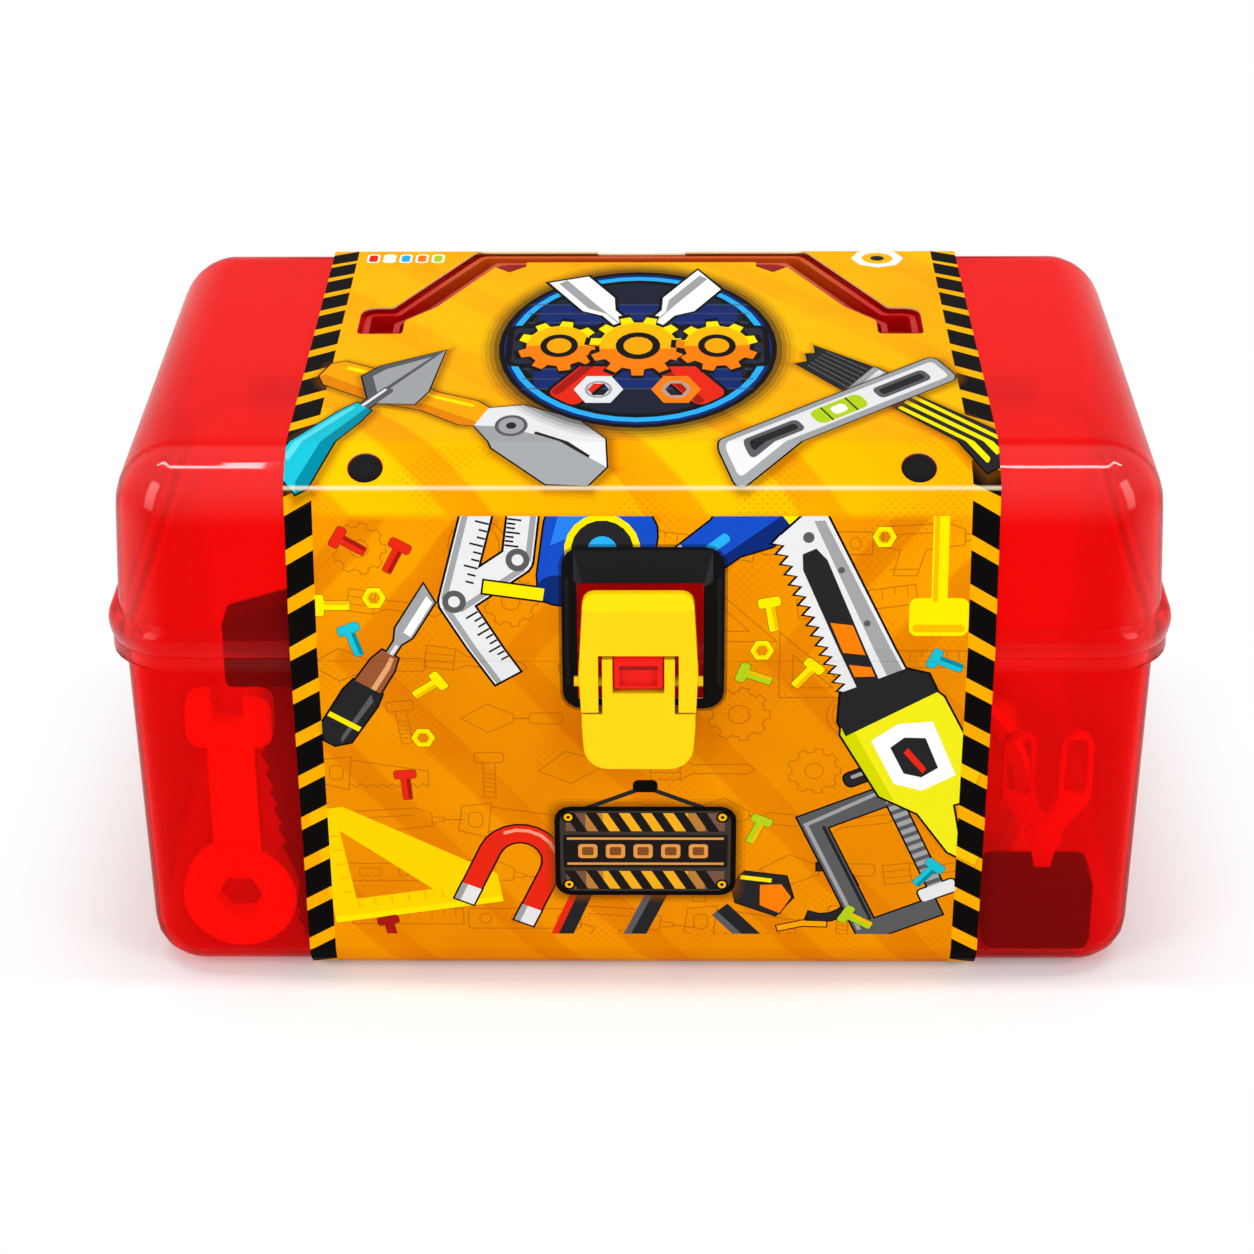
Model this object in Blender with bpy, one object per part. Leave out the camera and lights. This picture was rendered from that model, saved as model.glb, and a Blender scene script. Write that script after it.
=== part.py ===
"""Toy tool box: a clear red moulded tub and lid with a fold-down handle, a two-part
draw latch, a printed card sleeve and the set of toy tools that stands inside.

Metres, +Z up. The origin is the middle of the underside, the front faces -Y.
"""
import math

import bmesh
import bpy
from mathutils import Vector

# The box: widest outline at the lid's rim, heights from the table
RIM_WIDTH = 0.2722
RIM_DEPTH = 0.168
PARTING_HEIGHT = 0.098
LID_TOP = 0.150
RIM_CORNER = 0.020
SHARPEST_CORNER = 0.0015
CORNER_STEPS = 8

# Clearances
FIT_GAP = 0.0003
PIN_CLEARANCE = 0.0001
OVERRUN = 0.004

# The tub
TUB_WALL = 0.0020
TUB_TOP_INSET = 0.0041
TUB_FOOT_INSET = 0.0058
TUB_FILLET = 0.011
FLANGE_INSET = 0.0009
FLANGE_HEIGHT = 0.0055
FLANGE_SLOPE = 0.0016
LIP_HEIGHT = 0.0025
LIP_CLEARANCE = 0.0005

# The lid
LID_WALL = 0.0018
LID_FOOT_INSET = 0.0028
LID_TOP_INSET = 0.0042
LID_FILLET = 0.0172
LID_FILLET_STEPS = 8
BEAD_HEIGHT = 0.0036
BEAD_TOP = 0.0039
BEAD_FOOT_INSET = 0.0008
BEAD_STEPS = 5

# The hinges behind
HINGE_REACH = 0.0040
KNUCKLE_RADIUS = 0.0033
KNUCKLE_WEB = 0.0027
HINGE_SIDE_INSET = 0.0310
HINGE_WIDTH = 0.024
HINGE_EAR = 0.0060
HINGE_SIDE_GAP = 0.0004
HINGE_PIN_RADIUS = 0.00125
PIN_SIDES = 16

# The card sleeve
CARD = 0.0005
SLEEVE_SIDE_MARGIN = 0.0134
SLEEVE_SHIFT = 0.0009
SLEEVE_SLIT = 0.0003
SLOPE_NORMAL = math.radians(59)
LATCH_WINDOW_HALF = 0.0158
LATCH_WINDOW_SHIFT = 0.0005
LATCH_WINDOW_UP = 0.0208
LATCH_WINDOW_DOWN = 0.0110

# The two plugs that stand in the card's round holes
PLUG_RADIUS = 0.0042
PLUG_HEIGHT = 0.0012
PLUG_EDGE = 0.0007
PLUG_SIDE_INSET = 0.0200
PLUG_DOWN = 0.0030
PLUG_SHANK = 0.0020
PLUG_SHANK_LENGTH = 0.0050
PLUG_HOLE = 0.0045

# The carry handle, folded back into its well
HANDLE_THICKNESS = 0.0070
HANDLE_DROP = 0.0005
HANDLE_FOOT_HALF = 0.0751
HANDLE_FOOT_WIDTH = 0.0100
HANDLE_FOOT_LENGTH = 0.0172
HANDLE_LENGTH = 0.0618
HANDLE_BACK_INSET = 0.0168
HANDLE_GRIP_HALF = 0.0457
HANDLE_BAR = 0.0074
HANDLE_ARM = 0.0082
HANDLE_CORNER = 0.0034
HANDLE_WALL = 0.0018
HANDLE_FLOOR = 0.0022
STUB_RADIUS = 0.0016
STUB_GRIP = 0.0014
WELL_CLEARANCE = 0.0008
WELL_DEPTH = 0.0080
SLOT_CLEARANCE = 0.0012
SLOT_BAY = 0.0092
NOTCH_HALF = 0.0125
NOTCH_DEPTH = 0.0022

# The latch: a lug on the tub, a lever hinged to it and a bail hinged to the lever
LEVER_PIVOT_OUT = 0.0033
LEVER_PIVOT_UP = 0.0
BAIL_PIVOT_OUT = 0.0025
BAIL_PIVOT_DOWN = 0.0046
LUG_HALF = 0.0061
LUG_OUT = 0.0047
LUG_FOOT = 0.0061
LUG_HEAD = 0.0033
LUG_STANDOFF = 0.0005
LUG_RIM = 0.0013
LUG_RECESS = 0.0012
PRONG_GAP = 0.0004
TONGUE_HALF = 0.0091
TONGUE_THICKNESS = 0.0036
PRONG_HEAD = 0.0028
NOTCH_GAP = 0.0006
LATCH_FACE_OUT = 0.0052
LEVER_HALF = 0.0144
LEVER_TIP_HALF = 0.0136
LEVER_DROP = 0.0288
LEVER_CORNER = 0.0040
LEVER_TIP_CORNER = 0.0062
LEVER_DEPTH = 0.0050
LEVER_PLATE = 0.0020
KNEE_RADIUS = 0.0080
KNEE_GAP = 0.0005
LATCH_PIN_RADIUS = 0.0008
EAR_RADIUS = 0.0013
EAR_OUT = 0.0012
EAR_CLEARANCE = 0.0002
BAIL_PROUD = 0.0005
BAIL_STANDOFF = 0.0007
BAIL_HALF = 0.0150
BAIL_FOOT_HALF = 0.0145
BAIL_HEAD_HALF = 0.0138
BAIL_HEAD_TOP = 0.0202
BAIL_BULGE_DOWN = 0.0010
BAIL_WINDOW_HALF = 0.0101
BAIL_WINDOW_TOP = 0.0041
BAIL_PLATE = 0.0022
BAIL_BAR = 0.0030
BAIL_SKIRT = 0.0023
BAIL_SLOPE_DOWN = 0.0036
BAIL_SLOPE_BACK = 0.0026
BAIL_CORNER = 0.0030
CATCH_HALF = 0.0080
CATCH_GAP = 0.0004
CATCH_TOP_GAP = 0.0009
CATCH_HEIGHT = 0.0075
CATCH_RAMP = 0.0040

# The toys' places are insets from the rim's outline. The toy spanner, on end in a front corner
SPANNER_SIDE_INSET = 0.0304
SPANNER_FRONT_GAP = 0.0012
SPANNER_THICKNESS = 0.0060
SPANNER_RING = 0.0150
SPANNER_RING_HOLE = 0.0065
SPANNER_LENGTH = 0.0750
SPANNER_SHAFT_HALF = 0.0062
SPANNER_JAW_HALF = 0.0112
SPANNER_JAW_LENGTH = 0.0150
SPANNER_JAW_GAP = 0.0080
SPANNER_JAW_DEPTH = 0.0085

# The toy saw, stood on its tip behind the spanner
SAW_FRONT_INSET = 0.0207
SAW_SIDE_INSET = 0.0335
SAW_BLADE_WIDTH = 0.0250
SAW_BLADE_THICKNESS = 0.0024
SAW_BLADE_LENGTH = 0.0860
SAW_TIP_WIDTH = 0.0140
SAW_TOOTH = 0.0024
SAW_TEETH = 14
SAW_GRIP_WIDTH = 0.0340
SAW_GRIP_HEIGHT = 0.0270
SAW_GRIP_THICKNESS = 0.0110
SAW_GRIP_SLOPE = 0.0080
SAW_TANG = 0.0080

# The round toy saw disc behind the card on the right
DISC_SIDE_INSET = 0.0665
DISC_FRONT_INSET = 0.0342
DISC_RADIUS = 0.0360
DISC_THICKNESS = 0.0040
DISC_DISH = 0.0012
DISC_RIM = 0.0060
DISC_BORE = 0.0050
DISC_SIDES = 48

# The toy hammer: head in the front right corner, handle along the floor
HAMMER_SIDE_INSET = 0.0302
HAMMER_FRONT_INSET = 0.0114
HAMMER_HEAD_HALF = 0.0145
HAMMER_HEAD_DEPTH = 0.0180
HAMMER_HEAD_HEIGHT = 0.0225
HAMMER_BEVEL = 0.0030
HAMMER_STOCK_RADIUS = 0.0062
HAMMER_BACK_INSET = 0.0337
HAMMER_SOCKET = 0.0110

# The one-piece toy pliers, stood on the hammer's head
PLIERS_SIDE_INSET = 0.0290
PLIERS_BACK_SET = 0.0070
PLIERS_THICKNESS = 0.0032
PLIERS_HEIGHT = 0.0400
PLIERS_LOOP_HALF = 0.0043
PLIERS_LOOP_LENGTH = 0.0190
PLIERS_LOOP_WALL = 0.0014
PLIERS_SPREAD = 0.0075
PLIERS_JOINT_RADIUS = 0.0050
PLIERS_JAW_LENGTH = 0.0100
PLIERS_JAW_HALF = 0.0042

# The toy screwdriver, lying along the back wall
DRIVER_BACK_INSET = 0.0257
DRIVER_SIDE_INSET = 0.0650
DRIVER_GRIP_LENGTH = 0.0560
DRIVER_GRIP_RADIUS = 0.0090
DRIVER_GRIP_FLUTES = 6
DRIVER_FLUTE = 0.0014
DRIVER_SHAFT_RADIUS = 0.0028
DRIVER_SHAFT_LENGTH = 0.0620
DRIVER_SOCKET = 0.0120
DRIVER_TIP = 0.0080

# The loose bolts and nuts on the floor, left of the card's middle
BOLT_HEAD_RADIUS = 0.0080
BOLT_HEAD_HEIGHT = 0.0050
BOLT_SHANK_RADIUS = 0.0038
BOLT_LENGTH = 0.0200
NUT_RADIUS = 0.0080
NUT_HEIGHT = 0.0070
NUT_BORE = 0.0042
FASTENER_SIDE_INSET = 0.0450
FASTENER_FRONT_INSET = 0.0427
FASTENER_PITCH = 0.0230

# Places worked out from the sizes above
HALF_WIDTH = RIM_WIDTH / 2
SLEEVE_HALF = HANDLE_FOOT_HALF + SLEEVE_SIDE_MARGIN
HALF_DEPTH = RIM_DEPTH / 2
TUB_FLOOR = CARD + FIT_GAP
TUB_INSIDE = TUB_FLOOR + TUB_WALL
TUB_TOP = PARTING_HEIGHT - FIT_GAP / 2
LID_FOOT = PARTING_HEIGHT + FIT_GAP / 2
BEAD_CENTRE = PARTING_HEIGHT + BEAD_HEIGHT
BEAD_END = BEAD_CENTRE + BEAD_TOP
HINGE_PLACE = HALF_WIDTH - HINGE_SIDE_INSET
HINGE_Y = HALF_DEPTH + HINGE_REACH
HANDLE_BACK = HALF_DEPTH - HANDLE_BACK_INSET
HANDLE_FRONT = HANDLE_BACK - HANDLE_LENGTH
HANDLE_TOP = LID_TOP - HANDLE_DROP
HANDLE_PIVOT_Y = HANDLE_FRONT + HANDLE_THICKNESS / 2
HANDLE_PIVOT_Z = HANDLE_TOP - HANDLE_THICKNESS / 2
WELL_FLOOR = LID_TOP - WELL_DEPTH
LEVER_PIVOT = (-HALF_DEPTH - LEVER_PIVOT_OUT, PARTING_HEIGHT + LEVER_PIVOT_UP)
BAIL_PIVOT = (-HALF_DEPTH - BAIL_PIVOT_OUT, LEVER_PIVOT[1] - BAIL_PIVOT_DOWN)
LATCH_FACE = -HALF_DEPTH - LATCH_FACE_OUT
BAIL_FACE = LATCH_FACE - BAIL_PROUD
BAIL_BACK = -HALF_DEPTH - BAIL_STANDOFF
LATCH_WINDOW_TOP = PARTING_HEIGHT + LATCH_WINDOW_UP
LATCH_WINDOW_FOOT = PARTING_HEIGHT - LATCH_WINDOW_DOWN
PLUG_PLACE = SLEEVE_HALF - PLUG_SIDE_INSET
SPANNER_PLACE = -HALF_WIDTH + SPANNER_SIDE_INSET
SAW_FRONT = -HALF_DEPTH + SAW_FRONT_INSET
SAW_BLADE_LEFT = -HALF_WIDTH + SAW_SIDE_INSET
DISC_PLACE = HALF_WIDTH - DISC_SIDE_INSET
DISC_FRONT = -HALF_DEPTH + DISC_FRONT_INSET
HAMMER_PLACE = HALF_WIDTH - HAMMER_SIDE_INSET
HAMMER_FRONT = -HALF_DEPTH + HAMMER_FRONT_INSET
HAMMER_STOCK_END = HALF_DEPTH - HAMMER_BACK_INSET
PLIERS_PLACE = HALF_WIDTH - PLIERS_SIDE_INSET
DRIVER_BACK = HALF_DEPTH - DRIVER_BACK_INSET
DRIVER_LEFT = -HALF_WIDTH + DRIVER_SIDE_INSET
FASTENER_ROW = -HALF_WIDTH + FASTENER_SIDE_INSET
FASTENER_FRONT = -HALF_DEPTH + FASTENER_FRONT_INSET

RED = (0.80, 0.012, 0.016)
YELLOW = (0.95, 0.66, 0.0)


def clear_scene():
    for old in list(bpy.data.objects):
        bpy.data.objects.remove(old, do_unlink=True)


def finish(name, colour, roughness, metallic=0.0, alpha=1.0):
    """A plain Principled material named for its piece."""
    material = bpy.data.materials.new(name)
    material.use_nodes = True
    shader = material.node_tree.nodes["Principled BSDF"]
    shader.inputs["Base Color"].default_value = (*colour, 1.0)
    shader.inputs["Roughness"].default_value = roughness
    shader.inputs["Metallic"].default_value = metallic
    shader.inputs["Alpha"].default_value = alpha
    return material


def as_object(name, mesh_builder):
    """Turn a bmesh into a scene object whose faces point outwards."""
    bmesh.ops.recalc_face_normals(mesh_builder, faces=mesh_builder.faces)
    mesh = bpy.data.meshes.new(name)
    mesh_builder.to_mesh(mesh)
    mesh_builder.free()
    piece = bpy.data.objects.new(name, mesh)
    bpy.context.scene.collection.objects.link(piece)
    return piece


def loft(name, rings):
    """A closed body through rings of equal count, with a flat cap on both ends."""
    builder = bmesh.new()
    rows = [[builder.verts.new(point) for point in ring] for ring in rings]
    for lower, upper in zip(rows, rows[1:]):
        for index in range(len(lower)):
            after = (index + 1) % len(lower)
            builder.faces.new((lower[index], lower[after], upper[after], upper[index]))
    builder.faces.new(rows[0])
    builder.faces.new(rows[-1])
    return as_object(name, builder)


def prism(name, outline, axis, low, high):
    """An outline drawn across an axis and extruded along it from low to high.

    Across X an outline holds (y, z), across Y it holds (x, z), across Z it holds (x, y).
    """
    place = {"X": lambda a, b, c: (c, a, b),
             "Y": lambda a, b, c: (a, c, b),
             "Z": lambda a, b, c: (a, b, c)}[axis]
    rings = [[Vector(place(a, b, end)) for a, b in outline] for end in (low, high)]
    return loft(name, rings)


def circle(centre, radius, sides=PIN_SIDES, start=0.0):
    return [(centre[0] + radius * math.cos(start + 2 * math.pi * step / sides),
             centre[1] + radius * math.sin(start + 2 * math.pi * step / sides))
            for step in range(sides)]


def rod(name, axis, centre, radius, low, high, sides=PIN_SIDES):
    return prism(name, circle(centre, radius, sides), axis, low, high)


def block(name, low, high):
    """A box between two corners."""
    outline = [(low[0], low[1]), (high[0], low[1]), (high[0], high[1]), (low[0], high[1])]
    return prism(name, outline, "Z", low[2], high[2])


def evaluated(piece):
    """Fix the modifiers of a piece into its mesh."""
    bpy.context.view_layer.update()
    graph = bpy.context.evaluated_depsgraph_get()
    mesh = bpy.data.meshes.new_from_object(piece.evaluated_get(graph))
    piece.modifiers.clear()
    piece.data = mesh
    return piece


def combine(piece, tool, operation):
    """Cut, join or intersect a piece with a tool, which is used up."""
    modifier = piece.modifiers.new(operation, "BOOLEAN")
    modifier.operation = operation
    modifier.solver = "EXACT"
    modifier.object = tool
    evaluated(piece)
    bpy.data.objects.remove(tool, do_unlink=True)
    return piece


def cut(piece, *tools):
    for tool in tools:
        combine(piece, tool, "DIFFERENCE")
    return piece


def join(piece, *tools):
    for tool in tools:
        combine(piece, tool, "UNION")
    return piece


def soften(piece, width, segments=2):
    """Round the sharp edges of a clean prism."""
    modifier = piece.modifiers.new("Bevel", "BEVEL")
    modifier.width = width
    modifier.segments = segments
    modifier.limit_method = "ANGLE"
    modifier.angle_limit = math.radians(40)
    return evaluated(piece)


def dress(piece, material, smooth=30):
    """Give a finished piece its material and smooth shading."""
    piece.data.materials.clear()
    piece.data.materials.append(material)
    piece.data.shade_smooth()
    piece.data.set_sharp_from_angle(angle=math.radians(smooth))
    return piece


def set_origin(piece, point):
    """Move a piece's origin onto a point, such as its joint's axis, and leave its shape."""
    piece.data.transform(piece.matrix_world)
    shift = Vector(point)
    for vertex in piece.data.vertices:
        vertex.co -= shift
    piece.matrix_world.identity()
    piece.location = shift


def mirrored(points):
    """A half outline on the left and its mirror image, as one closed loop."""
    return list(points) + [(-x, y) for x, y in reversed(points)]


def rounded(points, radii, steps=3):
    """A closed outline whose corners are arcs, one radius for each point."""
    result = []
    count = len(points)
    for index, radius in enumerate(radii):
        corner = Vector(points[index])
        before = Vector(points[index - 1]) - corner
        after = Vector(points[(index + 1) % count]) - corner
        if radius == 0:
            result.append(tuple(corner))
            continue
        half = before.angle(after) / 2
        reach = min(radius / math.tan(half), before.length / 2, after.length / 2)
        radius = reach * math.tan(half)
        middle = corner + (before.normalized() + after.normalized()).normalized() * radius / math.sin(half)
        first = corner + before.normalized() * reach - middle
        turn = first.angle_signed(corner + after.normalized() * reach - middle)
        for step in range(steps + 1):
            angle = -turn * step / steps
            spoke = Vector((first.x * math.cos(angle) - first.y * math.sin(angle),
                            first.x * math.sin(angle) + first.y * math.cos(angle)))
            result.append(tuple(middle + spoke))
    return result


def grown(points, amount):
    """A closed outline with every side moved outwards by one amount."""
    area = sum(a[0] * b[1] - b[0] * a[1] for a, b in zip(points, points[1:] + points[:1]))
    side = 1 if area > 0 else -1
    result = []
    for index, point in enumerate(points):
        corner = Vector(point)
        back = (corner - Vector(points[index - 1])).normalized()
        ahead = (Vector(points[(index + 1) % len(points)]) - corner).normalized()
        normal_back = Vector((back.y, -back.x)) * side
        normal_ahead = Vector((ahead.y, -ahead.x)) * side
        mitre = (normal_back + normal_ahead).normalized()
        result.append(tuple(corner + mitre * amount / max(mitre.dot(normal_back), 0.3)))
    return result


def ring(inset, height):
    """The box's rounded rectangle at one height, set in from the rim's outline."""
    half_x = HALF_WIDTH - inset
    half_y = HALF_DEPTH - inset
    radius = max(RIM_CORNER - inset, SHARPEST_CORNER)
    points = []
    for sign_x, sign_y, start in ((1, 1, 0), (-1, 1, 90), (-1, -1, 180), (1, -1, 270)):
        for step in range(CORNER_STEPS + 1):
            angle = math.radians(start + 90 * step / CORNER_STEPS)
            points.append(Vector((sign_x * (half_x - radius) + radius * math.cos(angle),
                                  sign_y * (half_y - radius) + radius * math.sin(angle),
                                  height)))
    return points


def fillet_rings(inset, end, radius, upwards, steps=5):
    """Rings of a rounded edge, from the flat end to the wall; upwards says where the wall is."""
    sign = 1 if upwards else -1
    rings = []
    for step in range(steps + 1):
        angle = math.radians(90 * (1 - step / steps))
        rings.append(ring(inset + radius * (1 - math.cos(angle)),
                          end + sign * radius * (1 - math.sin(angle))))
    return rings


def tub_inner_inset(height):
    """How far the tub's inner wall is set in at a height above its floor."""
    low = TUB_FLOOR + TUB_FILLET
    high = TUB_TOP - FLANGE_HEIGHT
    share = (height - low) / (high - low)
    return TUB_FOOT_INSET + (TUB_TOP_INSET - TUB_FOOT_INSET) * share + TUB_WALL


def floor_height(front):
    """The height of the tub's inner floor, which curves up to the front wall, at a depth."""
    radius = TUB_FILLET - TUB_WALL
    centre_y = HALF_DEPTH - TUB_FOOT_INSET - TUB_FILLET
    reach = min(max(abs(front) - centre_y, 0), radius)
    return TUB_INSIDE + radius - math.sqrt(radius ** 2 - reach ** 2)


def lug_outline():
    """The lug's side view: it leaves the flange and rises in front of the lid's bead."""
    face = -HALF_DEPTH - LUG_OUT
    root = -HALF_DEPTH + TUB_TOP_INSET
    back = -HALF_DEPTH - LUG_STANDOFF
    foot = PARTING_HEIGHT - LUG_FOOT
    head = PARTING_HEIGHT + LUG_HEAD
    chamfer = LUG_RECESS / 2
    return [(root, foot + LUG_RIM), (back, foot), (face + chamfer, foot), (face, foot + chamfer),
            (face, head - chamfer), (face + chamfer, head), (back, head), (back, TUB_TOP),
            (root, TUB_TOP)]


def make_tub(material):
    outer = fillet_rings(TUB_FOOT_INSET, TUB_FLOOR, TUB_FILLET, True)
    flange_foot = TUB_TOP - FLANGE_HEIGHT
    outer.append(ring(TUB_TOP_INSET, flange_foot))
    outer.append(ring(FLANGE_INSET + FLANGE_SLOPE / 2, flange_foot + FLANGE_SLOPE / 2))
    outer.append(ring(FLANGE_INSET, flange_foot + FLANGE_SLOPE))
    outer.append(ring(FLANGE_INSET, TUB_TOP))
    lip_outer = LID_FOOT_INSET + LID_WALL + LIP_CLEARANCE
    lip_top = TUB_TOP + LIP_HEIGHT
    lip = [ring(lip_outer, TUB_TOP), ring(lip_outer, lip_top)]
    lip.append(ring(tub_inner_inset(lip_top), lip_top))
    inner_fillet = TUB_FILLET - TUB_WALL
    inner = fillet_rings(TUB_FOOT_INSET + TUB_WALL, TUB_INSIDE, inner_fillet, True)
    tub = loft("tub_shell", outer + lip + inner[::-1])

    lug = prism("lug", lug_outline(), "X", -LUG_HALF, LUG_HALF)
    lug_face = -HALF_DEPTH - LUG_OUT
    low = (-LUG_HALF + LUG_RIM, lug_face - OVERRUN, PARTING_HEIGHT - LUG_FOOT + LUG_RIM)
    high = (LUG_HALF - LUG_RIM, lug_face + LUG_RECESS, PARTING_HEIGHT + LUG_HEAD - 2 * LUG_RIM)
    cut(lug, block("lug_recess", low, high))
    join(tub, lug)
    for side in (-1, 1):
        for end in (-1, 1):
            middle = side * HINGE_PLACE + end * (HINGE_WIDTH - HINGE_EAR) / 2
            join(tub, hinge_ear(middle - HINGE_EAR / 2, middle + HINGE_EAR / 2, -1))
        reach = HINGE_WIDTH / 2 + OVERRUN
        cut(tub, rod("hinge_hole", "X", (HINGE_Y, PARTING_HEIGHT), HINGE_PIN_RADIUS + PIN_CLEARANCE,
                     side * HINGE_PLACE - reach, side * HINGE_PLACE + reach))
    hole = LATCH_PIN_RADIUS + PIN_CLEARANCE
    cut(tub, rod("lug_hole", "X", LEVER_PIVOT, hole, -LUG_HALF - OVERRUN, LUG_HALF + OVERRUN))
    return dress(tub, material)


def hinge_ear(low, high, side):
    """A knuckle with its web, below the parting plane for side -1 and above it for side 1."""
    knuckle = rod("knuckle", "X", (HINGE_Y, PARTING_HEIGHT), KNUCKLE_RADIUS, low, high)
    root = HALF_DEPTH - LID_FOOT_INSET
    near = PARTING_HEIGHT + side * (KNUCKLE_RADIUS - KNUCKLE_WEB)
    far = PARTING_HEIGHT + side * KNUCKLE_RADIUS
    web = block("web", (low, root, min(near, far)), (high, HINGE_Y, max(near, far)))
    return join(knuckle, web)


def handle_half():
    """The left half of the folded handle in plan, as an outer and an inner list of points."""
    foot = HANDLE_FRONT + HANDLE_FOOT_LENGTH
    lean = (HANDLE_FOOT_HALF - HANDLE_GRIP_HALF - HANDLE_ARM) / (HANDLE_BACK - foot)
    arm_foot = HANDLE_GRIP_HALF + lean * (HANDLE_BACK - foot)
    outer = [(-HANDLE_FOOT_HALF, HANDLE_FRONT), (-HANDLE_FOOT_HALF, foot), (-arm_foot, foot),
             (-HANDLE_GRIP_HALF, HANDLE_BACK)]
    bar = HANDLE_BACK - HANDLE_BAR
    knee = HANDLE_FRONT + HANDLE_THICKNESS + HANDLE_WALL
    inner_foot = HANDLE_FOOT_HALF - HANDLE_FOOT_WIDTH
    width = HANDLE_ARM * math.sqrt(1 + lean ** 2)
    turn = foot + HANDLE_WALL
    inner = [(-inner_foot, HANDLE_FRONT), (-inner_foot, knee),
             (-(arm_foot - width) + lean * (turn - foot), turn),
             (-(HANDLE_GRIP_HALF - width) - lean * HANDLE_BAR, bar)]
    return outer, inner


def handle_plan(grow=0.0):
    """The folded handle's closed plan: up the left, across, down the right, back inside."""
    outer, inner = handle_half()
    points = outer + [(-x, y) for x, y in reversed(outer)]
    points += [(-x, y) for x, y in inner] + list(reversed(inner))
    if grow:
        points = grown(points, grow)
    foot_round = max(HANDLE_CORNER + grow, SHARPEST_CORNER)
    tight = SHARPEST_CORNER
    outer_radii = [tight, foot_round, tight, foot_round]
    inner_radii = [tight, foot_round, foot_round, foot_round]
    radii = outer_radii + outer_radii[::-1] + inner_radii + inner_radii[::-1]
    return rounded(points, radii)


def plug_body(name, side, radii):
    """A round body on a plug's axis, square to the card's slope, through (radius, height) pairs."""
    bend = Vector((SLEEVE_SHIFT + side * PLUG_PLACE, -HALF_DEPTH + LID_TOP_INSET + LID_FILLET,
                   LID_TOP - LID_FILLET))
    axis = Vector((0, -math.cos(SLOPE_NORMAL), math.sin(SLOPE_NORMAL)))
    down = Vector((0, -math.sin(SLOPE_NORMAL), -math.cos(SLOPE_NORMAL)))
    centre = bend + axis * LID_FILLET + down * PLUG_DOWN
    across = Vector((1, 0, 0))
    ahead = axis.cross(across)
    rings = []
    for radius, height in radii:
        rings.append([centre + axis * height + across * x + ahead * y
                      for x, y in circle((0, 0), radius, 24)])
    return loft(name, rings)


def make_plugs(material):
    for name, side in (("card_plug_left", -1), ("card_plug_right", 1)):
        plug = plug_body(name, side, [(PLUG_RADIUS, -PLUG_HEIGHT), (PLUG_RADIUS, PLUG_HEIGHT - PLUG_EDGE),
                                      (PLUG_RADIUS - PLUG_EDGE / 2, PLUG_HEIGHT - PLUG_EDGE / 2),
                                      (PLUG_RADIUS / 2, PLUG_HEIGHT - PLUG_EDGE / 8),
                                      (PLUG_RADIUS / 8, PLUG_HEIGHT)])
        skin = band_points(FIT_GAP)[0]
        bed = [(-y, z) for y, z in skin] + [(0, skin[-1][1]), (0, skin[0][1])]
        cut(plug, prism("bed", bed, "X", -HALF_WIDTH, HALF_WIDTH))
        join(plug, plug_body("shank", side, [(PLUG_SHANK, -PLUG_SHANK_LENGTH), (PLUG_SHANK, PLUG_HEIGHT / 2)]))
        dress(plug, material)


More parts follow.
